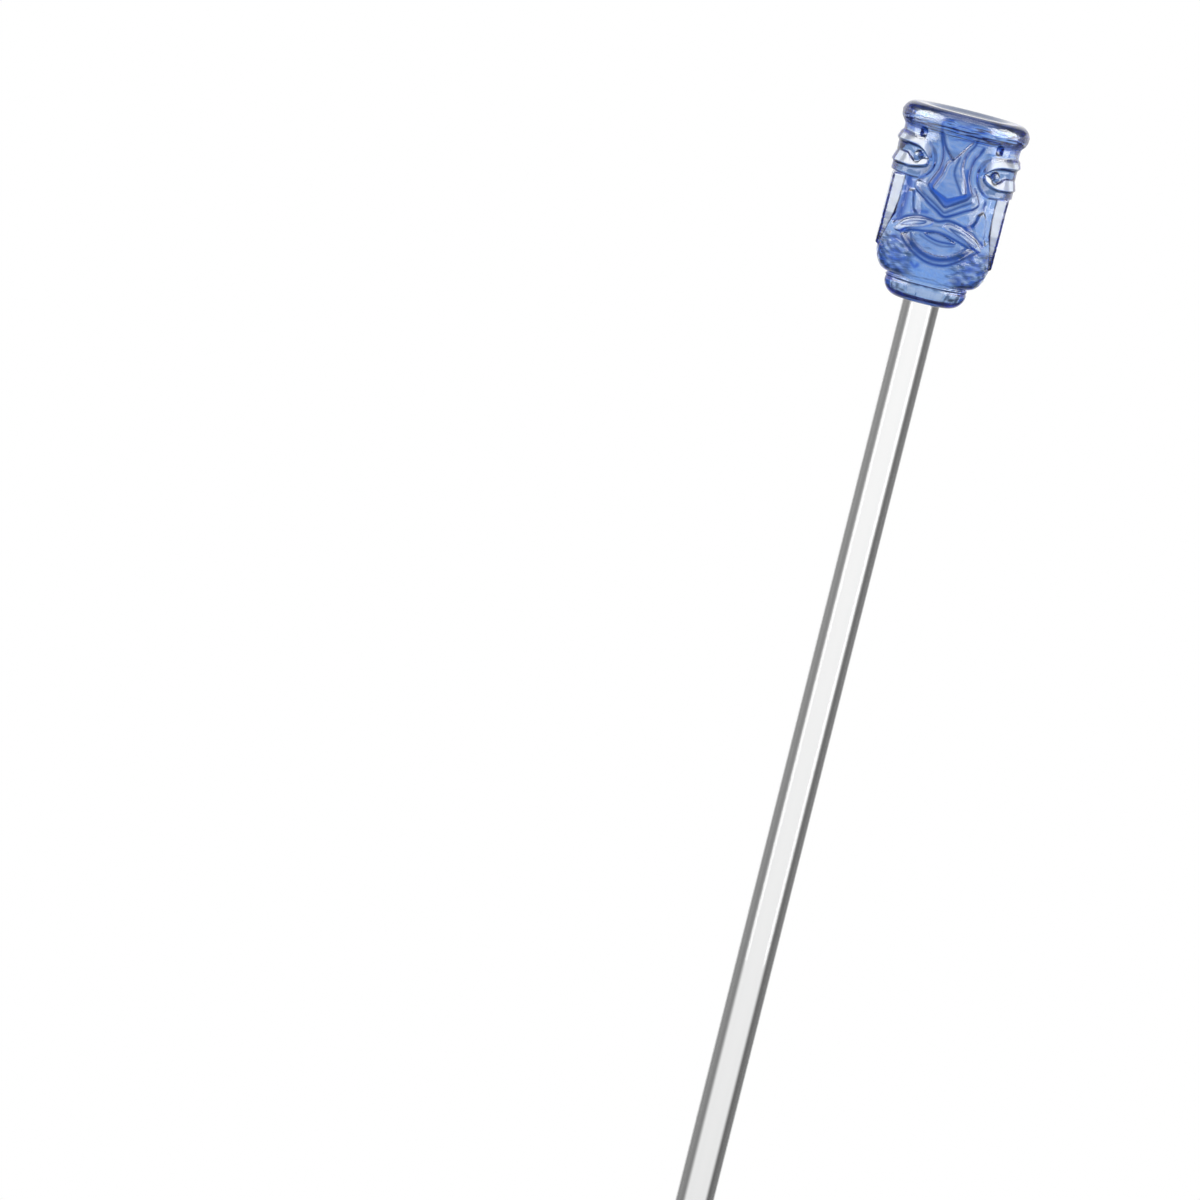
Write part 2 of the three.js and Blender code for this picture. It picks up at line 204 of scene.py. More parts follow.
def eye_relief(s, z, side):
    """Plate, lids and eyeball of the long eye that runs round each side, and its painted shade and painted
    highlights.
    """
    a = np.abs(s)
    z = z - EYE_SKEW * np.where(side < 0, 1, -1) * ramp(a - 4, 3)
    swell = ramp(a - 8, 5)
    along = np.maximum(a, 5.55)
    plate_depth = 2.68 - np.hypot(a - along, z - EYE_LEVEL + 0.08)
    where = ramp(plate_depth, np.where(z > EYE_LEVEL, 0.6, 0.3))
    out = 0.34 + 0.22 * swell

    upper_edge = smooth_curve(
        [(3.75, 18.72), (3.95, 18.95), (4.4, 19.32), (4.9, 19.6), (5.5, 19.78), (6.3, 19.9),
         (9, 19.96), (SIDE + 1, 19.96)]
    )
    lower_edge = smooth_curve(
        [(3.75, 18.72), (4.1, 18.7), (4.7, 18.5), (5.2, 18.15), (5.7, 17.98), (6.3, 18.02),
         (6.8, 18.25), (7.15, 18.5), (7.6, 18.66), (9, 18.64), (SIDE + 1, 18.62)]
    )
    bottom_edge = smooth_curve(
        [(3.6, 18.1), (3.85, 17.8), (4.3, 17.5), (5.0, 17.24), (5.8, 17.05), (6.6, 16.98),
         (9, 17.0), (SIDE + 1, 17.05)]
    )
    over_edge = np.interp(a, *upper_edge.T)
    top_edge = np.interp(a, *lower_edge.T)
    low_edge = np.interp(a, *bottom_edge.T)
    # Upper lid: a tile that stands out most along its lower edge
    share = np.clip(1 - (z - over_edge) / 1.35, 0, 1)
    upper = ramp(z - over_edge - 0.1, 0.42) * ramp(a - 3.6, 0.6) * ramp(plate_depth - 0.2, 0.7)
    out = out * (1 - upper) + (0.34 + 0.52 * share) * upper
    # Lower lid, the same below the opening
    share = np.clip((top_edge - z) / np.maximum(top_edge - low_edge, 0.3), 0, 1)
    lower = ramp(top_edge - z, 0.2) * ramp(z - low_edge - 0.1, 0.42) * ramp(a - 3.75, 0.25)
    out = out * (1 - lower) + (0.36 + 0.5 * share) * lower
    # Opening, with the ball in its inner end
    gap = ramp(over_edge - 0.1 - z, 0.42) * ramp(z - top_edge, 0.2) * ramp(a - 3.8, 0.25)
    out = out * (1 - gap) + (0.02 + 0.4 * swell) * gap
    ball = BALL_RADIUS**2 - (a - BALL_REACH) ** 2 - (z - EYE_LEVEL) ** 2
    on_ball = ball > 0
    ball = np.sqrt(np.clip(ball, 0, None))
    out = np.where(on_ball, np.maximum(out, 0.02 + 0.8 * ball), out)
    # Painted shade: dark lines under the lids, round the ball and at the eye's outer end, over a darker
    # wash in the opening and on the lower plate
    line = np.exp(-(((z - over_edge + 0.1) / 0.2) ** 2)) * ramp(a - 3.7, 0.3)
    line = np.maximum(line, np.exp(-(((z - low_edge + 0.04) / 0.2) ** 2)) * ramp(a - 3.7, 0.5))
    line = np.maximum(line, 0.75 * np.exp(-(((z - top_edge - 0.06) / 0.12) ** 2)) * ramp(a - 4.3, 0.5))
    reach = np.hypot(a - BALL_REACH, z - EYE_LEVEL)
    ring = np.exp(-(((reach - BALL_RADIUS) / 0.12) ** 2)) * ramp(a - 3.7, 0.3)
    line = np.maximum(line, 0.85 * ring)
    turned = np.arctan2(z - EYE_LEVEL, a - BALL_REACH)
    spiral = np.exp(-(((reach - 0.5 - 0.08 * turned) / 0.09) ** 2)) * (turned < 1.2)
    line = np.maximum(line, 0.45 * spiral)
    end = np.exp(-(((a - 10.35) / 0.42) ** 2)) * (z < over_edge + 1.6)
    line = np.maximum(line, 0.9 * end)
    wash = np.maximum(0.56 * gap, 0.68 * ramp(low_edge - z, 0.2) * ramp(plate_depth - 0.25, 0.3))
    grey_shade = np.maximum(line, wash)
    # Painted highlights: white on the lids, paler on the ball and the lower plate, and a painted glint on
    # the ball
    highlight_and_mottle = np.maximum(0.85 * upper, 0.95 * lower) * ramp(a - 3.5, 0.4)
    highlight_and_mottle = np.maximum(highlight_and_mottle, 0.45 * on_ball)
    highlight_and_mottle = np.maximum(highlight_and_mottle, 0.35 * ramp(low_edge - z, 0.2))
    glint = np.exp(-((np.hypot(a - BALL_REACH + 0.1, z - EYE_LEVEL - 0.12) / 0.16) ** 2))
    highlight_and_mottle = np.maximum(highlight_and_mottle * (1 - line), glint) * ramp(10.0 - a, 0.8)
    # Ring of the plate round the inner end: painted shade, bluer along the plate's edge and over its inner
    # end
    deep = 0.4 * np.exp(-(((plate_depth - 0.05) / 0.14) ** 2)) * ramp(7.5 - a, 1)
    deep = np.maximum(deep, 0.35 * where * ramp(4.6 - a, 1.0) * (1 - upper) * (1 - lower))
    return out, where, grey_shade * where * (1 - glint), np.clip(highlight_and_mottle, 0, 1) * where, deep


NOSE_LEFT = [(-0.75, 19.15), (-1.1, 18.65), (-1.25, 17.85), (-1.35, 17.1), (-1.6, 16.45),
             (-1.95, 15.55), (-2.15, 15.1)]
NOSE_RIGHT = [(2.05, 15.25), (1.8, 16.25), (1.55, 17.05), (1.15, 17.85), (0.9, 18.65),
              (0.9, 19.75), (1.2, 20.7)]
NOSE_ARM_RIGHT = [(1.2, 20.7), (1.8, 21.7), (1.95, 22.5)]
CREASE = [(0.3, 19.75), (0.05, 18.4), (0.15, 17.45), (0.75, 16.35), (1.4, 15.25)]
OUTER_LEFT = [(-2.65, 22.4), (-2.5, 21.7), (-2.15, 20.7), (-1.9, 19.75), (-1.8, 18.75),
              (-1.95, 17.65), (-2.4, 16.55), (-2.85, 15.65)]
OUTER_RIGHT = [(2.95, 21.6), (2.6, 20.7), (2.25, 20.05), (2.05, 19.2), (2.0, 18.2), (2.15, 17.2),
               (2.55, 16.25), (2.95, 15.5)]
FOREHEAD = [(-2.45, 22.1), (-1.9, 20.85), (-1.15, 19.9), (-0.45, 19.25), (0.15, 20.05),
            (0.85, 21.15), (1.5, 22.1)]
BASE = [(-2.15, 15.1), (0.0, 14.1), (2.05, 15.25)]
GROOVE_LOW = [(2.85, 15.25), (2.5, 14.65), (1.3, 13.85), (0.1, 13.05), (-0.25, 13.1),
              (-1.35, 13.95), (-2.45, 14.7), (-2.85, 15.4)]
BAR_MID = [(-3.95, 14.8), (-2.85, 14.05), (-1.55, 13.3), (-0.45, 12.6), (0.0, 12.35),
           (0.55, 12.65), (1.75, 13.55), (3.05, 14.4)]
BAR_LOW = [(-4.1, 14.3), (-3.3, 13.8), (-2.2, 13.05), (-1.1, 12.45), (-0.25, 11.9), (0.4, 11.85),
           (1.4, 12.4), (2.6, 13.15), (3.6, 13.65), (4.0, 14.1)]
BAR_END_LEFT = [(-3.7, 15.9), (-4.3, 15.7), (-4.55, 15.2), (-4.4, 14.6), (-3.95, 14.2)]
BAR_END_RIGHT = [(3.1, 16.2), (3.6, 15.5), (3.95, 14.85), (4.1, 14.3), (3.6, 13.65)]
CHEEK_LEFT = [(-5.1, 14.15), (-4.45, 14.25), (-4.25, 13.05), (-4.0, 11.95), (-3.4, 11.35),
              (-4.6, 10.85), (-5.35, 10.3)]
CHEEK_BAND = [(-5.45, 15.45), (-5.4, 14.05), (-5.45, 12.4), (-5.6, 10.75)]
CHEEK_LIGHT = [(-5.0, 14.05), (-4.8, 12.5), (-4.55, 10.95)]
CHEEK_DARK = [(-4.35, 14.15), (-4.2, 13.05), (-3.95, 11.95), (-3.3, 11.3)]
CHEEK_RIGHT = [(3.95, 11.55), (4.3, 12.3), (4.4, 13.05), (4.9, 13.55), (5.4, 12.85), (5.65, 11.85),
               (5.8, 10.3), (4.6, 10.55)]
LIP_TOP = [(-6.05, 9.85), (-5.4, 10.1), (-4.65, 10.7), (-3.85, 10.95), (-2.85, 11.15),
           (-1.55, 11.15), (-0.45, 11.0), (0.65, 11.4), (1.5, 11.4), (2.6, 11.15), (3.4, 10.7),
           (4.35, 10.4), (5.25, 9.75), (5.85, 9.25)]
LEAF_LEFT = [(-5.7, 8.85), (-5.25, 9.55), (-4.5, 10.35), (-2.85, 10.9), (-1.35, 10.95),
             (-1.05, 10.7), (-1.35, 10.3), (-2.45, 9.75), (-4.1, 9.25), (-4.75, 8.75),
             (-5.3, 8.65)]
LOOP_LEFT = [(-4.8, 9.55), (-3.8, 10.3), (-2.0, 10.65), (-2.25, 10.3), (-3.55, 9.8), (-4.8, 9.55)]
LEAF_RIGHT = [(0.4, 10.6), (0.85, 11.0), (2.05, 10.9), (3.6, 10.3), (4.8, 9.65), (5.6, 8.65),
              (5.45, 8.35), (4.8, 8.6), (3.4, 9.25), (1.95, 9.8), (0.65, 10.25)]
LOOP_RIGHT = [(1.2, 10.5), (3.05, 10.1), (4.8, 9.2), (4.4, 9.1), (2.5, 9.8), (1.2, 10.5)]
ARCH = [(-4.55, 8.6), (-3.85, 9.1), (-2.85, 9.3), (-1.9, 9.4), (-0.9, 9.6), (-0.15, 9.65),
        (0.85, 9.55), (1.95, 9.3), (3.25, 8.9), (4.5, 8.45)]
TONGUE = [(-1.8, 9.1), (-0.9, 9.45), (-0.15, 9.55), (0.75, 9.4), (1.5, 9.1), (2.4, 8.7),
          (0.85, 8.5), (-0.25, 8.55), (-1.35, 8.85)]
TONGUE_LINE = [(-2.45, 8.75), (-0.7, 8.2), (0.85, 8.0), (2.4, 8.35)]
MOUTH_LOW = [(-3.65, 8.75), (-3.3, 8.15), (-2.45, 7.45), (-1.35, 6.85), (0.3, 6.6), (1.75, 6.8),
             (2.95, 7.5), (3.7, 8.2), (4.0, 8.5)]
LIP_DARK = [(-4.4, 8.45), (-3.3, 7.55), (-2.2, 6.85), (-0.9, 6.3), (0.3, 6.15), (1.5, 6.35),
            (2.85, 6.9), (3.7, 7.6), (4.55, 8.4)]
LIP_LIGHT = [(-4.45, 8.1), (-4.2, 7.9), (-3.3, 7.25), (-2.45, 6.6), (-1.1, 6.0), (0.3, 5.75),
             (1.85, 6.0), (3.15, 6.7), (4.15, 7.55), (4.7, 8.1)]
LIP_OUTER = [(-4.85, 8.45), (-4.2, 7.55), (-3.1, 6.7), (-2.0, 6.05), (-0.9, 5.6), (0.3, 5.45),
             (1.75, 5.65), (3.05, 6.4), (4.25, 7.45), (5.45, 8.15)]

# Lines of the face, in painted shade: where, how wide, how deep blue, how far sunk into the relief
SHADE_LINES = [
    (NOSE_LEFT, 0.17, 0.9, 0.03),
    (NOSE_RIGHT, 0.18, 0.95, 0.03),
    (NOSE_ARM_RIGHT, 0.15, 0.75, 0.02),
    (CREASE, 0.13, 0.6, 0.0),
    (OUTER_LEFT, 0.22, 0.85, 0.03),
    (OUTER_RIGHT, 0.22, 0.85, 0.03),
    (FOREHEAD[:4], 0.17, 0.85, 0.0),
    (FOREHEAD[3:], 0.13, 0.6, 0.0),
    (BAR_MID, 0.16, 0.65, 0.05),
    (BAR_LOW, 0.19, 0.95, 0.05),
    (BAR_END_LEFT, 0.17, 0.75, 0.04),
    (BAR_END_RIGHT, 0.17, 0.8, 0.04),
    (CHEEK_DARK, 0.15, 0.6, 0.04),
    ([(3.05, 10.95)] + CHEEK_RIGHT[:4], 0.18, 0.9, 0.06),
    (CHEEK_RIGHT[3:7], 0.14, 0.7, 0.04),
    ([(4.9, 14.85), (4.9, 14.05)], 0.22, 0.9, 0.05),
    (LIP_TOP, 0.17, 0.92, 0.08),
    (CHEEK_BAND, 0.5, 0.6, 0.0),
    (LOOP_LEFT, 0.09, 0.7, 0.05),
    (LOOP_RIGHT, 0.09, 0.75, 0.05),
    (ARCH, 0.17, 0.8, 0.04),
    (TONGUE + TONGUE[:1], 0.15, 0.8, 0.04),
    (TONGUE_LINE, 0.12, 0.5, 0.0),
    (MOUTH_LOW, 0.12, 0.5, 0.0),
    (LIP_DARK, 0.3, 0.99, 0.06),
    (LIP_OUTER, 0.2, 0.9, 0.06),
]
# Broad marks of painted deep blue shade: where, how wide, how deep
SHADE_SMUDGES = [
    (CHEEK_BAND, 0.75, 0.97),
    ([(3.1, 10.95), (3.7, 11.2), (4.15, 11.8)], 0.36, 1.0),
    ([(-4.0, 11.6), (-3.2, 11.75), (-2.2, 11.85)], 0.3, 0.6),
    ([(-6.1, 9.8), (-5.7, 10.0)], 0.3, 1.0),
    ([(5.6, 9.55), (5.85, 9.25)], 0.32, 1.0),
    ([(-1.55, 17.9), (-1.7, 17.0), (-2.2, 15.9), (-2.5, 15.2)], 0.3, 0.6),
    ([(1.6, 18.3), (1.8, 17.2), (2.3, 16.1), (2.5, 15.4)], 0.26, 0.6),
    ([(2.2, 20.3), (2.05, 19.2)], 0.25, 0.5),
]
# Painted highlight lines beside them, given the same way
HIGHLIGHT_LINES = [
    ([(-2.05, 15.35), (0.0, 14.4), (1.95, 15.45)], 0.09, 0.55),
    (LIP_LIGHT, 0.11, 0.5),
    (CHEEK_LIGHT, 0.12, 0.5),
    ([(4.45, 13.1), (4.9, 13.75), (5.35, 13.1)], 0.09, 0.8),
    ([(-1.0, 18.3), (-1.1, 17.0), (-1.7, 15.7)], 0.1, 0.25),
    ([(0.3, 20.6), (0.75, 21.2), (1.3, 21.9)], 0.12, 0.45),
    ([(0.35, 18.4), (0.3, 17.9), (0.55, 17.3)], 0.1, 0.4),
    ([(-2.6, 14.95), (-1.4, 14.15), (-0.3, 13.3)], 0.12, 0.35),
    ([(0.3, 13.3), (1.4, 14.1), (2.6, 14.9)], 0.12, 0.35),
    ([(2.9, 16.0), (3.3, 15.5), (3.7, 15.0)], 0.16, 0.6),
    ([(3.3, 16.3), (4.0, 15.6), (4.4, 15.0)], 0.14, 0.4),
    ([(-1.6, 11.65), (0.1, 11.55), (1.6, 11.75)], 0.14, 0.25),
]


def face_relief(s, z):
    """Nose, moustache, cheeks, lips and mouth, over the wall, with their painted shade, painted shadow and
    painted highlights, and random mottling.
    """
    out = np.zeros(s.shape)
    deep = np.zeros(s.shape)
    highlight_and_mottle = np.zeros(s.shape)

    def inside(points, curved=True):
        line = drawn(points)
        return depth_inside(smooth_curve(line, closed=True, steps=3) if curved else line, s, z)

    # Brow: a soft swelling under the rim
    out += ramp(z - 20.9, 1.2) * 0.22
    # Nose: soft flanks, and a front of two planes that meet in the crease
    flank = OUTER_LEFT + [(0, 14.3)] + OUTER_RIGHT[::-1]
    out = raised(out, 0.2 + 0.1 * np.clip((21 - z) / 6, 0, 1), inside(flank, False), 0.35)
    nose = [(-1.45, 20.3)] + NOSE_LEFT + BASE[1:2] + NOSE_RIGHT + NOSE_ARM_RIGHT[1:]
    nose += [(-2.6, 22.5), (-1.9, 21.0)]
    depth = inside(nose, False)
    fall = np.clip((21.5 - z) / 6.5, 0, 1)
    levels = [14.2, 15.3, 16.45, 17.5, 18.4, 19.2, 22]
    crease = np.interp(z, levels, [1.7, 1.4, 0.7, 0.1, -0.1, 0.1, 0.4])
    left = np.clip((s - crease + 2.6) / 2.6, 0, 1)
    right = np.clip(1 - (s - crease) / 1.3, 0, 1)
    ridge = np.where(s < crease, 0.8 + 0.2 * left, 0.62 + 0.38 * right)
    out = raised(out, (0.36 + 0.6 * fall) * ridge, depth, 0.32)
    brow = inside(FOREHEAD + [(1.7, 22.8), (-2.6, 22.8)], False)
    out = raised(out, 0.05 + 0 * s, brow, 0.35)

    # Groove under the nose, with painted shade in it, and the folded moustache
    depth = inside([(-2.85, 15.5)] + BASE + [(2.85, 15.35)] + GROOVE_LOW[1:-1], False)
    out = raised(out, -0.26 + 0 * s, depth, 0.3)
    under_nose = line_distance(drawn(NOSE_LEFT[-1:] + BASE[1:2] + NOSE_RIGHT[:1]), s, z)
    deep = np.maximum(deep, ramp(depth, 0.35) * np.clip(1.15 - 0.5 * under_nose, 0.45, 1))
    bar = GROOVE_LOW[::-1] + BAR_END_RIGHT[1:] + BAR_LOW[::-1] + BAR_END_LEFT[::-1][1:-1]
    depth = inside(bar, False)
    fold = line_distance(drawn(BAR_MID), s, z)
    out = raised(out, 0.44 - 0.2 * np.clip(fold / 0.6, 0, 1), depth, 0.28)

    # Cheek facets, which rise to their peaks
    for cheek in (CHEEK_LEFT, CHEEK_RIGHT):
        out = raised(out, 0.1 + 0.2 * np.clip((z - 10.0) / 4, 0, 1), inside(cheek, False), 0.32)
    for k in (-1, 1):
        channel = [(k * 5.45, 15.4), (k * 5.5, 13.5), (k * 5.9, 11.4), (k * 6.2, 9.8)]
        out += groove(drawn(channel), s, z, 0.1, 0.5)

    # Lips round the sunk mouth
    out += 0.2 * stroke(LIP_LIGHT, s, z, 0.4)
    depth = inside(ARCH + MOUTH_LOW[::-1], False)
    out = raised(out, -0.24 + 0 * s, depth, 0.25)
    upper = ARCH + [(3.4, 9.3), (1.95, 9.85), (0.3, 10.5), (-1.2, 10.3), (-2.45, 9.8), (-3.9, 9.3)]
    out = raised(out, 0.12 + 0 * s, inside(upper, False), 0.2)
    for leaf, loop in ((LEAF_LEFT, LOOP_LEFT), (LEAF_RIGHT, LOOP_RIGHT)):
        depth = inside(leaf)
        out = raised(out, 0.3 + 0.2 * np.clip((11.2 - z) / 2.2, 0, 1), depth, 0.28)
        # Painted highlight on the lips' leaves, less inside their loops
        highlight_and_mottle = np.maximum(highlight_and_mottle, 0.95 * ramp(depth - 0.05, 0.2) * (1 - 0.45 * ramp(inside(loop), 0.15)))
    depth = inside(TONGUE)
    out = raised(out, 0.02 + 0 * s, depth, 0.25)
    # Painted shade over the tongue in the sunk mouth
    deep = np.maximum(deep, 0.18 * ramp(depth, 0.3))

    line_shade = np.zeros(s.shape)
    halo = np.zeros(s.shape)
    # Painted shade along each line, a painted highlight (the halo) just beside it, and a shallow cut in
    # the relief
    for points, wide, tint, cut in SHADE_LINES:
        reach = stroke_distance(points, s, z)
        mark = np.exp(-((reach / (1.15 * wide)) ** 2))
        line_shade = np.maximum(line_shade, tint * mark)
        halo = np.maximum(halo, tint * np.exp(-(((reach - 0.26 - wide) / 0.14) ** 2)))
        out -= 0.5 * cut * mark
    highlight_and_mottle = np.maximum(highlight_and_mottle, 0.85 * halo)
    # Broad marks of painted shade
    for points, wide, tint in SHADE_SMUDGES:
        deep = np.maximum(deep, 1 - (1 - tint * stroke(points, s, z, wide)) ** 2)
    # Painted shadow at the lower tip of the forehead's triangle
    tip = ramp(brow, 0.2) * ramp(20.6 - z, 0.7)
    # Painted highlight lines
    for points, wide, tint in HIGHLIGHT_LINES:
        mark = stroke(points, s, z, wide)
        highlight_and_mottle = np.maximum(highlight_and_mottle, tint * mark)
    cloud = seeded_noise(17, s * 0.8, z, 1.3)
    fleck = seeded_noise(18, s, z * 0.8, 0.45)
    deep = np.maximum(deep, np.clip(0.16 * cloud + 0.12 * fleck, 0, 0.5))
    highlight_and_mottle = np.maximum(highlight_and_mottle, np.clip(0.22 - 0.2 * cloud + 0.1 * fleck, 0, 0.45))
    highlight_and_mottle = highlight_and_mottle * (1 - line_shade) * (1 - deep)
    return out, deep, 1 - (1 - line_shade) ** 2, 0.45 * tip, highlight_and_mottle


def ear_radius(theta, z, wall, front):
    """The flat flange at each side below the eye, which narrows to the jaw, with its painted highlight and
    painted shade.
    """
    side = np.abs(theta)
    corner = np.interp(z, [EAR_TIP, EAR_WAIST], [1.5, 3.35])
    # Slanted front facet, and the flat outer face
    far = EAR_REACH * math.sin(EAR_TURN) + corner * math.cos(EAR_TURN)
    facet = far / np.maximum(np.cos(side - EAR_TURN), 0.05)
    flat = EAR_REACH / np.maximum(np.sin(side), 0.05)
    soft = 0.12
    flange = np.minimum(facet, flat) - soft * 0.4 * np.exp(-np.abs(facet - flat) / soft)
    lateral = flange * np.sin(side)
    levels = [EAR_TIP, 7.0, 9.0, EAR_WAIST, 12.8, EAR_TOP]
    inner = np.interp(z, levels, [7.35, 7.2, 6.8, 6.45, 6.2, 6.15])
    # Two small nicks across the facet
    for level in (9.75, 8.95):
        level = level - 0.35 * (theta > 0)
        flange = flange - 0.07 * np.exp(-(((z - level) / 0.1) ** 2))
    edge = 0.5 - 0.36 * front
    where = ramp(EAR_TOP - 0.07 - z, 0.25) * ramp(z - EAR_TIP + 0.1, 0.35) * ramp(lateral - inner, edge)
    on = np.where(np.sin(side) > 0.5, where, 0)
    # Painted highlight over the flange, with painted shade along its outer edge, along its inner edge and
    # in a dash at its top
    rim = ramp(lateral - EAR_REACH + 0.3, 0.14) * ramp(0.6 - np.abs(facet - flat), 0.4)
    cloud = seeded_noise(41, side * WALL_RADIUS * np.sign(theta), z * 0.5, 1.0)
    highlight_and_mottle = on * (1 - rim) * np.clip(0.97 + 0.12 * cloud, 0.75, 1)
    thin = np.exp(-(((lateral - inner + 0.02) / 0.1) ** 2))
    thin = thin * ramp(EAR_TOP - z, 0.3) * ramp(z - EAR_TIP - 0.2, 0.3)
    grey_shade = np.where(np.sin(side) > 0.5, 1 - (1 - 0.9 * thin) ** 2, 0) * front
    dash = ramp(lateral - EAR_REACH + 0.25, 0.1) * np.exp(-(((z - 15.3) / 0.25) ** 2))
    grey_shade = np.maximum(grey_shade, on * dash)
    return wall * (1 - on) + flange * on, highlight_and_mottle, on * rim, grey_shade


def head_columns():
    """Angles of the columns of points, which are denser over the face than at the back."""
    edge = math.radians(100)
    front = np.linspace(-edge, edge, FRONT_COLUMNS + 1)
    back = np.linspace(edge, 2 * math.pi - edge, BACK_COLUMNS + 1)[1:-1]
    turns = np.concatenate([front, back])
    return np.sort(np.where(turns > math.pi, turns - 2 * math.pi, turns))


def head_levels():
    """Heights of the rows of points, with a radius for those at both ends, which carry no relief."""
    rows = [(0.0, r) for r in (1.1, 2.2, 2.9)]
    for k in range(10):
        turn = math.pi / 2 * k / 10
        radius = FOOT_RADIUS - FOOT_ROUND + FOOT_ROUND * math.sin(turn)
        rows.append((FOOT_ROUND * (1 - math.cos(turn)), radius))
    bead_level = HEAD_HEIGHT - BEAD_RADIUS
    rows += [(z, None) for z in np.arange(FOOT_ROUND, bead_level, ROW_STEP)]
    bead_middle = RIM_RADIUS - BEAD_RADIUS
    for k in range(15):
        turn = math.pi / 2 * k / 14
        radius = bead_middle + BEAD_RADIUS * math.cos(turn)
        rows.append((bead_level + BEAD_RADIUS * math.sin(turn), radius))
    land = bead_middle - CROWN_LAND
    dish = ((land, 0), (land - 0.5, 0.25), (land - 1.2, 0.42), (2.5, 0.49), (1.2, CROWN_DISH))
    return rows + [(HEAD_HEIGHT - drop, r) for r, drop in dish]


def rim_tints(t, s, z):
    """Shares of painted blue shade, painted grey shade and painted highlight of the rim and the brow."""
    x = WALL_RADIUS * np.sin(t)
    a = np.abs(x)
    mottle = seeded_noise(21, s, z, 0.9)
    streak = seeded_noise(22, s * 0.35, z * 1.6, 0.9)
    band = ramp(z - 21.9, 0.5)
    # Painted shade at the rim's ends, mottled
    ends = band * ramp(a - 6.3 - 0.3 * mottle, 0.8)
    deep = ends * np.clip(0.7 + 0.6 * mottle, 0, 1)
    grey_shade = ends * np.clip(0.1 + 0.3 * streak, 0, 1)
    # Painted shade along the top of the rim, and streaks of it over the rim's middle
    deep = np.maximum(deep, 0.5 * ramp(z - HEAD_HEIGHT + 0.6, 0.3))
    middle = band * ramp(3.2 - a, 2.4)
    deep = np.maximum(deep, middle * np.clip(0.12 + 0.45 * streak, 0, 0.7))
    # Dark marks of painted shade on the rim and the brow
    marks = (
        ([(0.4, 22.8), (1.95, 22.9), (3.6, 22.85), (4.7, 22.65)], 0.14, 0.85),
        ([(0.1, 22.05), (2.6, 22.25), (3.6, 22.15)], 0.13, 0.6),
        ([(-1.35, 23.35), (-0.7, 23.05)], 0.16, 0.8),
        ([(-2.75, 24.25), (-1.55, 24.2)], 0.16, 0.8),
        ([(-2.6, 22.5), (-2.65, 23.6), (-2.5, 24.4)], 0.2, 0.5),
        ([(-6.3, 22.45), (-6.3, 21.75)], 0.09, 0.8),
        ([(6.25, 22.2), (6.2, 21.4)], 0.09, 0.8),
    )
    for points, wide, tint in marks:
        deep = np.maximum(deep, tint * stroke(points, s, z, wide))
    # Pale patches of painted reflection on the rim
    left = depth_inside(drawn([(-6.6, 24.1), (-5.6, 24.6), (-3.2, 24.75), (-2.6, 24.0), (-2.7, 21.9),
                               (-3.6, 20.6), (-6.9, 20.8), (-6.9, 23.0)]), s, z)
    high = depth_inside(drawn([(2.5, 24.5), (4.15, 24.75), (6.6, 24.55), (6.35, 24.0), (4.7, 23.85),
                               (3.05, 24.1)]), s, z)
    low = depth_inside(drawn([(4.3, 22.2), (5.6, 23.0), (6.3, 23.6), (7.3, 23.5), (7.3, 21.2),
                              (4.5, 21.0)]), s, z)
    highlight_and_mottle = 0
    for depth in (left, high, low):
        highlight_and_mottle = np.maximum(highlight_and_mottle, ramp(depth + 0.25 * mottle, 0.5))
    highlight_and_mottle = highlight_and_mottle * np.clip(0.7 + 0.3 * streak, 0, 1)
    # A band of painted highlight and blue shade under the bead's ends, and pale specks at random on the
    # ends
    under = ramp(z - 22.1, 0.3) * ramp(23.1 - z, 0.4) * ramp(a - 5.0, 1.0)
    speck = np.clip(seeded_noise(23, s, z, 0.5) - 0.3, 0, 1) * ends
    highlight_and_mottle = np.maximum(highlight_and_mottle * (1 - deep), np.maximum(under, speck))
    deep = np.maximum(deep, 0.5 * under)
    return 1 - (1 - deep) ** 2, grey_shade, highlight_and_mottle


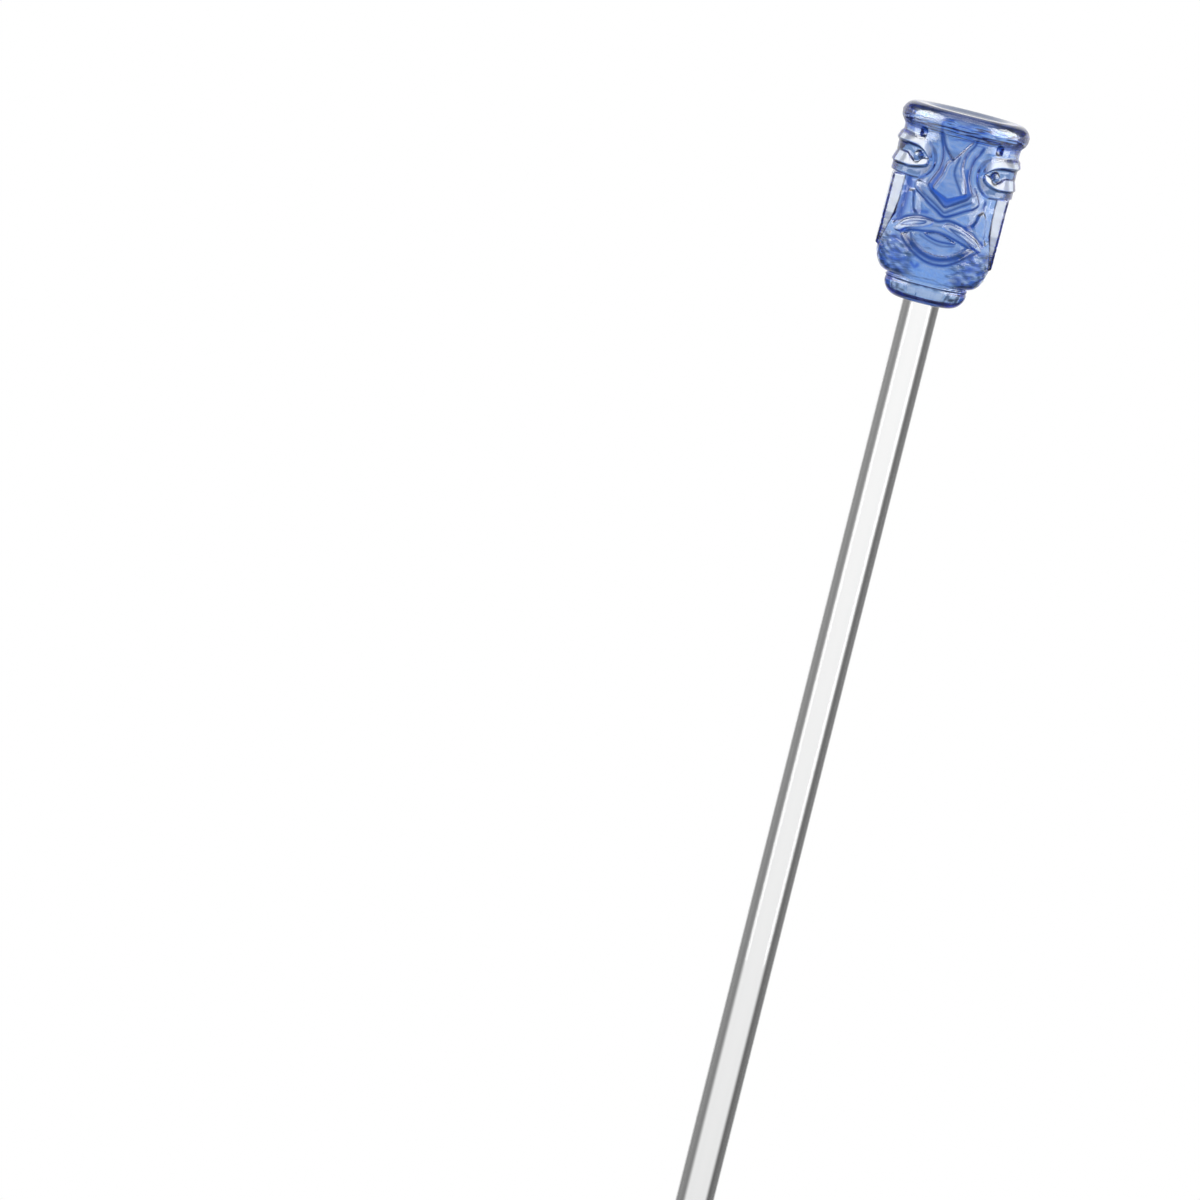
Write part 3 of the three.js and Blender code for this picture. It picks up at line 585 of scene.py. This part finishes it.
def chin_tints(s, z):
    """Shares of painted blue shade, painted grey shade and painted highlight of the chin and the foot,
    with a mottled grey painted shade at the chin's sides.
    """
    a = np.abs(s)
    mottle = seeded_noise(31, s * 0.6, z * 1.2, 1.9)
    fine = seeded_noise(32, s * 0.6, z * 1.3, 0.8)
    # Painted grey and blue shade, mottled, at the chin's sides
    sides = ramp(a - 2.6 - 1.6 * mottle, 2.6) * ramp(8.3 - z, 1.2) * ramp(z - 3.3, 0.6)
    deep = sides * np.clip(0.5 + 0.7 * mottle, 0, 0.9)
    grey_shade = sides * np.clip(0.22 + 0.2 * ramp(a - 7.5, 2) + 0.4 * fine, 0, 0.75)
    highlight_and_mottle = sides * np.clip(0.25 - 0.6 * mottle, 0, 0.8)
    spots = (
        ([(-6.3, 6.95), (-6.1, 6.6)], 0.3, 0.8), ([(-4.9, 5.75), (-4.3, 5.45)], 0.3, 0.6),
        ([(-2.6, 5.0), (-2.0, 4.6), (-1.7, 4.9)], 0.33, 0.75), ([(6.25, 6.75), (6.2, 6.4)], 0.25, 0.8),
        ([(4.2, 5.45), (5.0, 5.6)], 0.35, 0.6),
    )
    for points, wide, tint in spots:
        deep = np.maximum(deep, tint * stroke(points, s, z, wide))
    # Painted shade along the lines of the foot
    lines = (
        ([(-4.4, 3.6), (-2.45, 3.35), (0.65, 3.4), (1.95, 3.1), (3.6, 3.3), (5.25, 3.75)], 0.1, 0.6),
        ([(-4.65, 2.9), (-2.85, 2.3), (-0.25, 2.3), (1.95, 2.25), (4.15, 2.7), (5.25, 3.05)], 0.12, 0.8),
        ([(-3.3, 1.3), (-2.0, 0.95), (-0.25, 0.6), (1.4, 0.6), (3.05, 0.95), (3.95, 1.35)], 0.17, 0.95),
        ([(-1.15, 1.3), (-0.95, 1.15)], 0.08, 1.0),
    )
    for points, wide, tint in lines:
        mark = tint * stroke(points, s, z, wide) * np.clip(0.75 + 0.4 * fine, 0, 1)
        grey_shade = np.maximum(grey_shade, mark)
    # Painted highlights on the foot, and a white painted highlight at its left end
    foot = ramp(2.2 - z, 0.3) * ramp(z - 0.9, 0.3)
    highlight_and_mottle = np.maximum(highlight_and_mottle, foot * 0.9 * ramp(3.6 - a, 0.8))
    white = np.exp(-(((s + 7.1) / 0.3) ** 2)) * ramp(z - 1.1, 0.3) * ramp(2.5 - z, 0.3)
    highlight_and_mottle = np.maximum(highlight_and_mottle, white)
    highlight_and_mottle = np.maximum(highlight_and_mottle, foot * ramp(-s - 4.2, 0.5) * ramp(s + 6.8, 0.4) * 0.7)
    highlight_and_mottle = np.maximum(highlight_and_mottle, foot * ramp(s - 4.0, 0.5) * ramp(7.6 - s, 0.4) * 0.7)
    # Painted shade at the foot's ends, at its outer edges and on its underside
    ends = foot * ramp(a - 4.0, 0.5) * ramp(7.6 - a, 0.5)
    grey_shade = np.maximum(grey_shade, ends * np.clip(0.5 + 0.2 * np.sign(s) + 0.7 * fine, 0, 0.9))
    edge = ramp(a - 7.9, 0.5) * ramp(2.75 - z, 0.3)
    deep = np.maximum(deep, 0.9 * edge)
    grey_shade = np.maximum(grey_shade, 0.25 * edge)
    deep = np.maximum(deep, 0.8 * ramp(0.65 - z, 0.3))
    grey_shade = np.maximum(grey_shade, 0.5 * ramp(0.65 - z, 0.3))
    # A painted highlight patch on the chin
    patch = depth_inside(drawn([(2.6, 4.0), (3.4, 4.55), (5.0, 4.7), (5.3, 4.2), (4.2, 3.75),
                                (3.0, 3.75)]), s, z)
    highlight_and_mottle = np.maximum(highlight_and_mottle, 0.8 * ramp(patch + 0.2 * mottle, 0.4))
    return 1 - (1 - deep) ** 1.5, 1 - (1 - grey_shade) ** 2, highlight_and_mottle


def head_mesh():
    """The head as one closed skin of rows round the axis."""
    theta = head_columns()
    columns = len(theta)
    rows = head_levels()
    t, zz = np.meshgrid(theta, np.array([z for z, _ in rows]))
    facing = np.where(np.abs(t) <= math.pi / 2, t, np.sign(t) * (math.pi - np.abs(t)))
    s = facing * WALL_RADIUS
    wall = wall_radius(zz)
    front = ramp(np.cos(t), 0.3)
    relief, deep, line_shade, shadow, highlight_and_mottle = face_relief(s, zz)
    relief = relief * ramp(zz - 4.2, 1.5) * front
    eyes, share, grey_shade, lids, ring = eye_relief(s, zz, np.sin(t))
    relief = relief * (1 - share) + eyes * share
    deep = np.maximum(deep * (1 - share) * front, ring)
    line_shade = line_shade * (1 - share) * front
    grey_shade = np.maximum(grey_shade, shadow * (1 - share) * front)
    highlight_and_mottle = highlight_and_mottle * (1 - share) * front + lids
    # Painted shade and painted highlights of the rim, the chin and the foot
    for more_deep_shade, more_grey_shade, more_highlight_and_mottle in (rim_tints(t, s, zz), chin_tints(s, zz)):
        deep = np.maximum(deep, more_deep_shade * front * (1 - share))
        grey_shade = np.maximum(grey_shade, more_grey_shade * front * (1 - share))
        highlight_and_mottle = np.maximum(highlight_and_mottle, more_highlight_and_mottle * front * (1 - share))
    # Painted shade line round the crown's edge, and over the top of the crown
    crown_line = ramp(zz - HEAD_HEIGHT + 0.75, 0.2) * ramp(HEAD_HEIGHT - 0.1 - zz, 0.1)
    line_shade = np.maximum(line_shade, 0.75 * crown_line * front)
    line_shade[-9:] = 0.88
    # The ears' flange, with its painted highlight and painted shade
    radius, ear_highlight, ear_edge_shade, ear_grey_shade = ear_radius(facing, zz, wall + relief, front)
    off_eye = 1 - share
    ends = 1 + ramp(np.abs(s) - 8.3, 1.0) * share
    highlight_and_mottle = np.maximum(0.5 * highlight_and_mottle * ends, ear_highlight * off_eye)
    grey_shade = np.maximum(grey_shade, ear_grey_shade * off_eye)
    # Painted deep blue shade on the steep walls of the relief
    across = np.gradient(radius, theta * WALL_RADIUS, axis=1)
    upward = np.gradient(radius - wall, ROW_STEP, axis=0)
    slope = np.hypot(across, upward)
    in_wall = (zz > 4.5) & (zz < HEAD_HEIGHT - 2 * BEAD_RADIUS + 0.1)
    steep = 0.8 * np.clip((slope - 0.45) / 1.1, 0, 1) * in_wall * (1 - grey_shade) * (1 - ear_highlight)
    deep = np.maximum(deep, steep) * (1 - 0.9 * ear_highlight * off_eye)
    line_shade = np.maximum(line_shade, ear_edge_shade * off_eye)
    # Unevenness of the glass, more at the back, the chin and the ends of the rim
    wave = seeded_noise(4, t * WALL_RADIUS, zz, 3.2) * 0.02
    ripple = seeded_noise(9, t * WALL_RADIUS, zz, 1.3) * 0.02
    crackle = seeded_noise(12, t * WALL_RADIUS * 0.5, zz * 1.4, 1.1) * 0.022
    rough = ramp(np.abs(s) - 3.0, 2.5) * ramp(8.0 - zz, 1.5)
    streaks = seeded_noise(24, t * WALL_RADIUS * 0.3, zz * 1.5, 0.8) * 0.03
    pebble = seeded_noise(25, t * WALL_RADIUS, zz, 0.55) * 0.035 * ramp(np.abs(s) - 7.0, 1.5)
    on_rim = (streaks + pebble) * ramp(zz - 22.4, 0.6)
    radius = radius + (wave + ripple * (1 - front) + crackle * rough) * ramp(zz - 0.5, 1)
    # Step ring between foot and chin
    radius -= 0.16 * np.exp(-(((zz - 2.9) / 0.16) ** 2)) + 0.12 * np.exp(-(((zz - 2.35) / 0.12) ** 2))
    # Rim bead over the wall
    bead_level = HEAD_HEIGHT - BEAD_RADIUS
    bead = RIM_RADIUS - BEAD_RADIUS + np.sqrt(np.clip(BEAD_RADIUS**2 - (zz - bead_level) ** 2, 0, None))
    soft = 0.3
    joined = np.maximum(radius, bead) + soft * np.exp(-np.abs(radius - bead) / soft) * 0.35
    in_bead = (zz > HEAD_HEIGHT - 2 * BEAD_RADIUS) & (zz < bead_level)
    radius = np.where(in_bead, joined, radius) + on_rim
    # Brow pits, with painted shade in them
    for reach, level in BROW_PITS:
        d = (((s - reach) / PIT_HALF_WIDTH) ** 4 + ((zz - level) / PIT_HALF_HEIGHT) ** 4) ** 0.25
        radius = radius - PIT_DEPTH * np.clip(1 - d**2, 0, 1) ** 0.7 * front
        pit = ramp(1.1 - d, 0.25) * front
        deep = np.maximum(deep, pit)
        grey_shade = np.maximum(grey_shade, 0.4 * pit)
        highlight_and_mottle = highlight_and_mottle * (1 - pit)
    for i, (level, r) in enumerate(rows):
        if r is not None:
            keep = max(0, 1 - (level - bead_level) / 1.3) if level > bead_level else 0
            radius[i] = r + on_rim[i] * keep
    highlight_and_mottle = np.clip(highlight_and_mottle, 0, 1) * (1 - 0.8 * grey_shade)
    x = radius * np.sin(t)
    y = -radius * np.cos(t)
    points = np.stack([x, y, zz + HEAD_BASE], -1).reshape(-1, 3)
    poles = np.array([[0, 0, HEAD_BASE], [0, 0, HEAD_BASE + HEAD_HEIGHT - CROWN_DISH]])
    points = np.concatenate([points, poles]) * MM
    top = len(rows)
    i, j = np.meshgrid(np.arange(top - 1), np.arange(columns), indexing="ij")
    k = (j + 1) % columns
    low, high = i * columns, (i + 1) * columns
    quads = np.stack([low + j, low + k, high + k, high + j], -1).reshape(-1, 4).tolist()
    low = top * columns
    ends = []
    for j in range(columns):
        k = (j + 1) % columns
        ends.append((low, k, j))
        ends.append((low + 1, (top - 1) * columns + j, (top - 1) * columns + k))
    mesh = bpy.data.meshes.new("mask_head")
    mesh.from_pydata(points.tolist(), [], quads + ends)
    mesh.shade_smooth()
    # Shares of painted deep blue shade, painted line shade, painted grey shade, and painted highlight with
    # mottling, kept on the points
    for name, values in (("deep", deep), ("line_shade", line_shade), ("grey_shade", grey_shade), ("highlight_and_mottle", highlight_and_mottle)):
        layer = mesh.attributes.new(name, "FLOAT", "POINT")
        layer.data.foreach_set("value", np.append(values.ravel(), (0, 0)).astype(np.float32))
    return mesh


def lathe(name, profile, segments):
    """A closed solid of revolution round the Z axis, from its lowest point to its highest."""
    points = []
    for r, z in profile[1:-1]:
        for j in range(segments):
            turn = 2 * math.pi * j / segments
            points.append((r * math.sin(turn) * MM, -r * math.cos(turn) * MM, z * MM))
    rows = len(profile) - 2
    points.append((0, 0, profile[0][1] * MM))
    points.append((0, 0, profile[-1][1] * MM))
    faces = []
    for i in range(rows - 1):
        for j in range(segments):
            k = (j + 1) % segments
            low, high = i * segments, (i + 1) * segments
            faces.append((low + j, low + k, high + k, high + j))
    for j in range(segments):
        k = (j + 1) % segments
        faces.append((rows * segments, k, j))
        faces.append((rows * segments + 1, (rows - 1) * segments + j, (rows - 1) * segments + k))
    mesh = bpy.data.meshes.new(name)
    mesh.from_pydata(points, [], faces)
    mesh.shade_smooth()
    return mesh


def rod_mesh():
    profile = [(0, 0)]
    for k in range(1, 13):
        turn = math.pi / 2 * k / 12
        profile.append((TIP_RADIUS * math.sin(turn), TIP_RADIUS * (1 - math.cos(turn))))
    top = HEAD_BASE - 0.01
    for k in range(1, 60):
        profile.append((ROD_RADIUS, TIP_RADIUS + (top - TIP_RADIUS) * k / 60))
    profile.append((ROD_RADIUS, top - 0.05))
    profile.append((ROD_RADIUS, top - 0.02))
    profile.append((ROD_RADIUS - 0.02, top))
    profile.append((ROD_RADIUS - 0.06, top))
    profile.append((0, top))
    return lathe("glass_rod", profile, 96)


# Materials

IOR = 1.5
BLUE_ABSORPTION = (0.17, 0.485, 0.84)
BLUE_DENSITY = 150
BLUE_CLOUD = (0.93, 0.965, 1.0)
# Colours of the painted highlight, the painted deep blue shade, the painted line shade and the painted
# grey shade
HIGHLIGHT_TINT = (0.84, 0.92, 1.0)
DEEP_SHADE_TINT = (0.02, 0.12, 0.6)
LINE_SHADE_TINT = (0.003, 0.045, 0.24)
GREY_SHADE_TINT = (0.02, 0.035, 0.06)
CLEAR = (1.0, 1.0, 1.0)
CLEAR_LINE = (0.985, 0.99, 0.99)
# How much the painted highlight clouds the glass, and how rough it makes it
HIGHLIGHT_CLOUDING = 0.8
HIGHLIGHT_ROUGHNESS = 0.35


def node(tree, kind, **values):
    made = tree.nodes.new(kind)
    for key, value in values.items():
        setattr(made, key, value)
    return made


def math_node(tree, operation, a, b=0.0):
    made = node(tree, "ShaderNodeMath", operation=operation)
    for socket, value in zip(made.inputs, (a, b)):
        if isinstance(value, (int, float)):
            socket.default_value = value
        else:
            tree.links.new(value, socket)
    return made.outputs[0]


def glass(name):
    material = bpy.data.materials.new(name)
    material.use_nodes = True
    tree = material.node_tree
    shader = tree.nodes["Principled BSDF"]
    shader.inputs["Transmission Weight"].default_value = 1
    shader.inputs["IOR"].default_value = IOR
    return material


def add(mesh, material, *nodes):
    piece = bpy.data.objects.new(mesh.name, mesh)
    bpy.context.scene.collection.objects.link(piece)
    mesh.materials.append(material)
    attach(piece, "root")
    if nodes:
        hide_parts(*nodes)
    return piece


def attribute(tree, name):
    made = node(tree, "ShaderNodeAttribute", attribute_name=name)
    return made.outputs["Fac"]


def mixed(tree, share, a, b):
    made = node(tree, "ShaderNodeMix", data_type="RGBA")
    tree.links.new(share, made.inputs["Factor"])
    for socket, value in zip((made.inputs[6], made.inputs[7]), (a, b)):
        if isinstance(value, tuple):
            socket.default_value = (*value, 1)
        else:
            tree.links.new(value, socket)
    return made.outputs[2]


def noise(tree, stretch, scale, detail):
    """Soft random grain fixed to the piece, drawn out along its axis by the stretch."""
    place = node(tree, "ShaderNodeTexCoord")
    mapping = node(tree, "ShaderNodeMapping")
    mapping.inputs["Scale"].default_value = (1, 1, 1 / stretch)
    tree.links.new(place.outputs["Object"], mapping.inputs["Vector"])
    grain = node(tree, "ShaderNodeTexNoise")
    grain.inputs["Scale"].default_value = scale
    grain.inputs["Detail"].default_value = detail
    tree.links.new(mapping.outputs[0], grain.inputs["Vector"])
    return grain.outputs["Fac"]


def uneven(tree, height, distance):
    """A slight unevenness of the surface."""
    bump = node(tree, "ShaderNodeBump")
    bump.inputs["Strength"].default_value = 0.6
    bump.inputs["Distance"].default_value = distance
    tree.links.new(height, bump.inputs["Height"])
    tree.links.new(bump.outputs[0], tree.nodes["Principled BSDF"].inputs["Normal"])


def spread(tree, value, low, high):
    """The grain's middle range, stretched to go from low to high."""
    made = node(tree, "ShaderNodeMapRange")
    tree.links.new(value, made.inputs["Value"])
    for socket, number in zip(("From Min", "From Max", "To Min", "To Max"), (0.35, 0.65, low, high)):
        made.inputs[socket].default_value = number
    return made.outputs[0]


def blue_glass():
    """Pressed glass, clouded, rougher and whiter where highlights are painted, and darker where shade is
    painted, most in its lines.
    """
    material = glass("blue_glass")
    tree = material.node_tree
    shader = tree.nodes["Principled BSDF"]
    volume = node(tree, "ShaderNodeVolumeAbsorption")
    volume.inputs["Color"].default_value = (*BLUE_ABSORPTION, 1)
    volume.inputs["Density"].default_value = BLUE_DENSITY
    tree.links.new(volume.outputs[0], tree.nodes["Material Output"].inputs["Volume"])
    cloud = noise(tree, 1.0, 520, 3)
    grain = noise(tree, 1.0, 2600, 2)
    uneven(tree, cloud, 0.00002)
    frost = math_node(tree, "MULTIPLY", attribute(tree, "highlight_and_mottle"), HIGHLIGHT_ROUGHNESS)
    frost = math_node(tree, "ADD", frost, spread(tree, grain, 0.0, 0.04))
    tree.links.new(frost, shader.inputs["Roughness"])
    tone = mixed(tree, spread(tree, cloud, 0.0, 1.0), BLUE_CLOUD, CLEAR)
    # Painted highlight, painted deep blue shade, painted line shade and painted grey shade, over the
    # glass's own mottled tone
    for name, tint in (("highlight_and_mottle", HIGHLIGHT_TINT), ("deep", DEEP_SHADE_TINT), ("line_shade", LINE_SHADE_TINT), ("grey_shade", GREY_SHADE_TINT)):
        tone = mixed(tree, attribute(tree, name), tone, tint)
    tree.links.new(tone, shader.inputs["Base Color"])
    highlight_and_mottle = math_node(tree, "MULTIPLY", attribute(tree, "highlight_and_mottle"), HIGHLIGHT_CLOUDING)
    tree.links.new(math_node(tree, "SUBTRACT", 1.0, highlight_and_mottle), shader.inputs["Transmission Weight"])
    return material


def clear_glass():
    """Drawn glass, with faint lines along the rod."""
    material = glass("clear_glass")
    tree = material.node_tree
    shader = tree.nodes["Principled BSDF"]
    lines = noise(tree, 30.0, 1400, 2)
    uneven(tree, lines, 0.000004)
    tree.links.new(spread(tree, noise(tree, 4.0, 300, 4), 0.0, 0.03), shader.inputs["Roughness"])
    tone = mixed(tree, spread(tree, lines, 0.0, 1.0), CLEAR_LINE, CLEAR)
    tree.links.new(tone, shader.inputs["Base Color"])
    return material


head = add(head_mesh(), blue_glass(), "tiki_head", "adhesive_bond")
rod = add(rod_mesh(), clear_glass(), "stirring_rod")


# Stage: a pale floor and a white studio

GREY_LEFT = 0.14
GREY_RIGHT = 0.24
BEHIND_CAMERA = 0.35
FLOOR_TONE = 0.5
FLOOR_GLOW = 0.5
FLOOR_RADIUS = 26.0
FLOOR_DROP = 0.2
LAMP_TARGET = 175.0
WHITE = (1, 1, 1, 1)
# Panels on each side: from and to which turn, from and to which height, how far off and how bright
PANELS = [
    ("side_panel", 32, 112, 172, 214, 130, 5.5),
    ("high_panel", 32, 112, 206, 330, 128, 10.0),
    ("back_panel", 98, 166, 154.4, 220, 132, 1.05),
]


def eased(tree, value, start, end, low, high):
    made = node(tree, "ShaderNodeMapRange", interpolation_type="SMOOTHSTEP")
    tree.links.new(value, made.inputs["Value"])
    for socket, number in zip(("From Min", "From Max", "To Min", "To Max"), (start, end, low, high)):
        made.inputs[socket].default_value = number
    return made.outputs[0]


def make_world():
    world = bpy.data.worlds.new("studio")
    bpy.context.scene.world = world
    world.use_nodes = True
    tree = world.node_tree
    tree.nodes.clear()
    out = node(tree, "ShaderNodeOutputWorld")
    background = node(tree, "ShaderNodeBackground")
    tree.links.new(background.outputs[0], out.inputs[0])
    place = node(tree, "ShaderNodeTexCoord")
    split = node(tree, "ShaderNodeSeparateXYZ")
    tree.links.new(place.outputs["Generated"], split.inputs[0])
    x, y, z = split.outputs
    # White walls on four sides, with grey between them
    xy = math_node(tree, "ABSOLUTE", math_node(tree, "MULTIPLY", x, y))
    level = math_node(tree, "ADD", math_node(tree, "MULTIPLY", x, x), math_node(tree, "MULTIPLY", y, y))
    diagonal = math_node(tree, "DIVIDE", xy, level)
    card = eased(tree, x, -0.1, 0.1, GREY_LEFT, GREY_RIGHT)
    card = math_node(tree, "ADD", card, eased(tree, y, 0.45, 0.85, 0.09, -0.03))
    grey = eased(tree, diagonal, 0.31, 0.44, 0.0, 1.0)
    shade = math_node(tree, "MULTIPLY", grey, math_node(tree, "SUBTRACT", 1.0, card))
    shade = math_node(tree, "SUBTRACT", 1.0, shade)
    # Darker towards the ground, and behind the camera
    shade = math_node(tree, "MULTIPLY", shade, eased(tree, z, -0.5, 0.1, 0.5, 1.12))
    shade = math_node(tree, "MULTIPLY", shade, eased(tree, y, -0.9, -0.55, BEHIND_CAMERA, 1.0))
    camera = node(tree, "ShaderNodeLightPath").outputs["Is Camera Ray"]
    rest = math_node(tree, "SUBTRACT", 1.0, camera)
    value = math_node(tree, "ADD", camera, math_node(tree, "MULTIPLY", rest, shade))
    tree.links.new(value, background.inputs["Strength"])
    background.inputs["Color"].default_value = WHITE


def make_panel(name, start, end, low, high, distance, strength):
    """A curved white panel round the head, from one azimuth to another, that only glass shows."""
    across, upward = 32, 12
    points = []
    glow = []
    for k in range(across + 1):
        turn = math.radians(start + (end - start) * k / across)
        for i in range(upward + 1):
            z = low + (high - low) * (i / upward) ** 2
            points.append((distance * math.sin(turn) * MM, -distance * math.cos(turn) * MM, z * MM))
            soft = min(1, k / 8) * min(1, (across - k) / 4) * min(1, i)
            glow.append(soft * soft * (3 - 2 * soft))
    faces = []
    for k in range(across):
        for i in range(upward):
            a = k * (upward + 1) + i
            faces.append((a, a + upward + 1, a + upward + 2, a + 1))
    mesh = bpy.data.meshes.new(name)
    mesh.from_pydata(points, [], faces)
    layer = mesh.attributes.new("glow", "FLOAT", "POINT")
    layer.data.foreach_set("value", glow)
    panel = bpy.data.objects.new(name, mesh)
    bpy.context.scene.collection.objects.link(panel)
    material = bpy.data.materials.new(name)
    material.use_nodes = True
    tree = material.node_tree
    tree.nodes.clear()
    light = node(tree, "ShaderNodeEmission")
    open_air = node(tree, "ShaderNodeBsdfTransparent")
    glow = attribute(tree, "glow")
    tree.links.new(math_node(tree, "MULTIPLY", glow, strength), light.inputs["Strength"])
    blend = node(tree, "ShaderNodeMixShader")
    tree.links.new(glow, blend.inputs[0])
    tree.links.new(open_air.outputs[0], blend.inputs[1])
    tree.links.new(light.outputs[0], blend.inputs[2])
    out = node(tree, "ShaderNodeOutputMaterial")
    tree.links.new(blend.outputs[0], out.inputs["Surface"])
    mesh.materials.append(material)
    panel.visible_camera = False
    panel.visible_diffuse = False
    panel.visible_shadow = False


def make_floor():
    radius = FLOOR_RADIUS * MM
    points = [(0, 0, 0)]
    for j in range(96):
        turn = 2 * math.pi * j / 96
        points.append((radius * math.cos(turn), radius * math.sin(turn), 0))
    faces = [(0, 1 + j, 1 + (j + 1) % 96) for j in range(96)]
    mesh = bpy.data.meshes.new("floor")
    mesh.from_pydata(points, [], faces)
    floor = bpy.data.objects.new("floor", mesh)
    floor.location.z = -FLOOR_DROP * MM
    bpy.context.scene.collection.objects.link(floor)
    material = bpy.data.materials.new("floor")
    material.use_nodes = True
    tree = material.node_tree
    shader = tree.nodes["Principled BSDF"]
    shader.inputs["Base Color"].default_value = (FLOOR_TONE, FLOOR_TONE, FLOOR_TONE, 1)
    shader.inputs["Roughness"].default_value = 0.9
    shader.inputs["Specular IOR Level"].default_value = 0.1
    # White to the camera, and a little darker through the glass, so that the rod shows before it
    camera = node(tree, "ShaderNodeLightPath").outputs["Is Camera Ray"]
    glow = node(tree, "ShaderNodeEmission")
    tree.links.new(math_node(tree, "MULTIPLY", camera, FLOOR_GLOW), glow.inputs["Strength"])
    both = node(tree, "ShaderNodeAddShader")
    tree.links.new(shader.outputs[0], both.inputs[0])
    tree.links.new(glow.outputs[0], both.inputs[1])
    tree.links.new(both.outputs[0], tree.nodes["Material Output"].inputs["Surface"])
    mesh.materials.append(material)


def lamp(name, azimuth, elevation, distance, width, height, radiance):
    """A softbox aimed at the head. Azimuth 0 is at the camera's side and 90 to its right."""
    a = math.radians(azimuth)
    e = math.radians(elevation)
    back = Vector((math.sin(a) * math.cos(e), -math.cos(a) * math.cos(e), math.sin(e)))
    data = bpy.data.lights.new(name, "AREA")
    data.shape = "RECTANGLE"
    data.size = width
    data.size_y = height
    data.energy = radiance * width * height * math.pi
    light = bpy.data.objects.new(name, data)
    light.location = Vector((0, 0, LAMP_TARGET * MM)) + back * distance
    light.rotation_mode = "QUATERNION"
    light.rotation_quaternion = (-back).to_track_quat("-Z", "Y")
    light.visible_camera = False
    light.visible_transmission = False
    bpy.context.scene.collection.objects.link(light)


make_world()
make_floor()
for side in (-1, 1):
    for name, start, end, *rest in PANELS:
        make_panel(name, side * start, side * end, *rest)
lamp("overhead", 0, 80, 0.9, 0.9, 0.7, 2.2)
lamp("left_box", -62, 38, 1.0, 0.35, 0.6, 4.2)
lamp("right_box", 66, 34, 1.0, 0.3, 0.6, 4.9)
lamp("left_low", -58, -7, 1.0, 0.3, 0.25, 4.5)
lamp("right_low", 60, -7, 1.0, 0.3, 0.25, 4.5)


# Camera: how far it looks down, how far it is rolled, where it looks and how much it takes in there

CAMERA_ELEVATION = 6.5
CAMERA_ROLL = 14.0
CAMERA_DISTANCE = 1200.0
CAMERA_TARGET = (-31.4, 0, 116.1)
VIEW_WIDTH = 157.9
SENSOR = 36


def make_camera():
    elevation = math.radians(CAMERA_ELEVATION)
    lean = math.radians(CAMERA_ROLL)
    distance = CAMERA_DISTANCE * MM
    target = Vector(CAMERA_TARGET) * MM
    back = Vector((0, -math.cos(elevation), math.sin(elevation)))
    level = Vector((1, 0, 0))
    rise = Vector((0, math.sin(elevation), math.cos(elevation)))
    right = level * math.cos(lean) + rise * math.sin(lean)
    up = rise * math.cos(lean) - level * math.sin(lean)
    data = bpy.data.cameras.new("camera")
    data.sensor_width = SENSOR
    data.lens = SENSOR * CAMERA_DISTANCE / VIEW_WIDTH
    data.clip_start = 0.01
    data.clip_end = 20
    camera = bpy.data.objects.new("camera", data)
    turn = Matrix((right, up, back)).transposed().to_4x4()
    camera.matrix_world = Matrix.Translation(target + back * distance) @ turn
    bpy.context.scene.collection.objects.link(camera)
    bpy.context.scene.camera = camera


make_camera()
bpy.context.scene.view_settings.view_transform = "Standard"
bpy.context.view_layer.update()
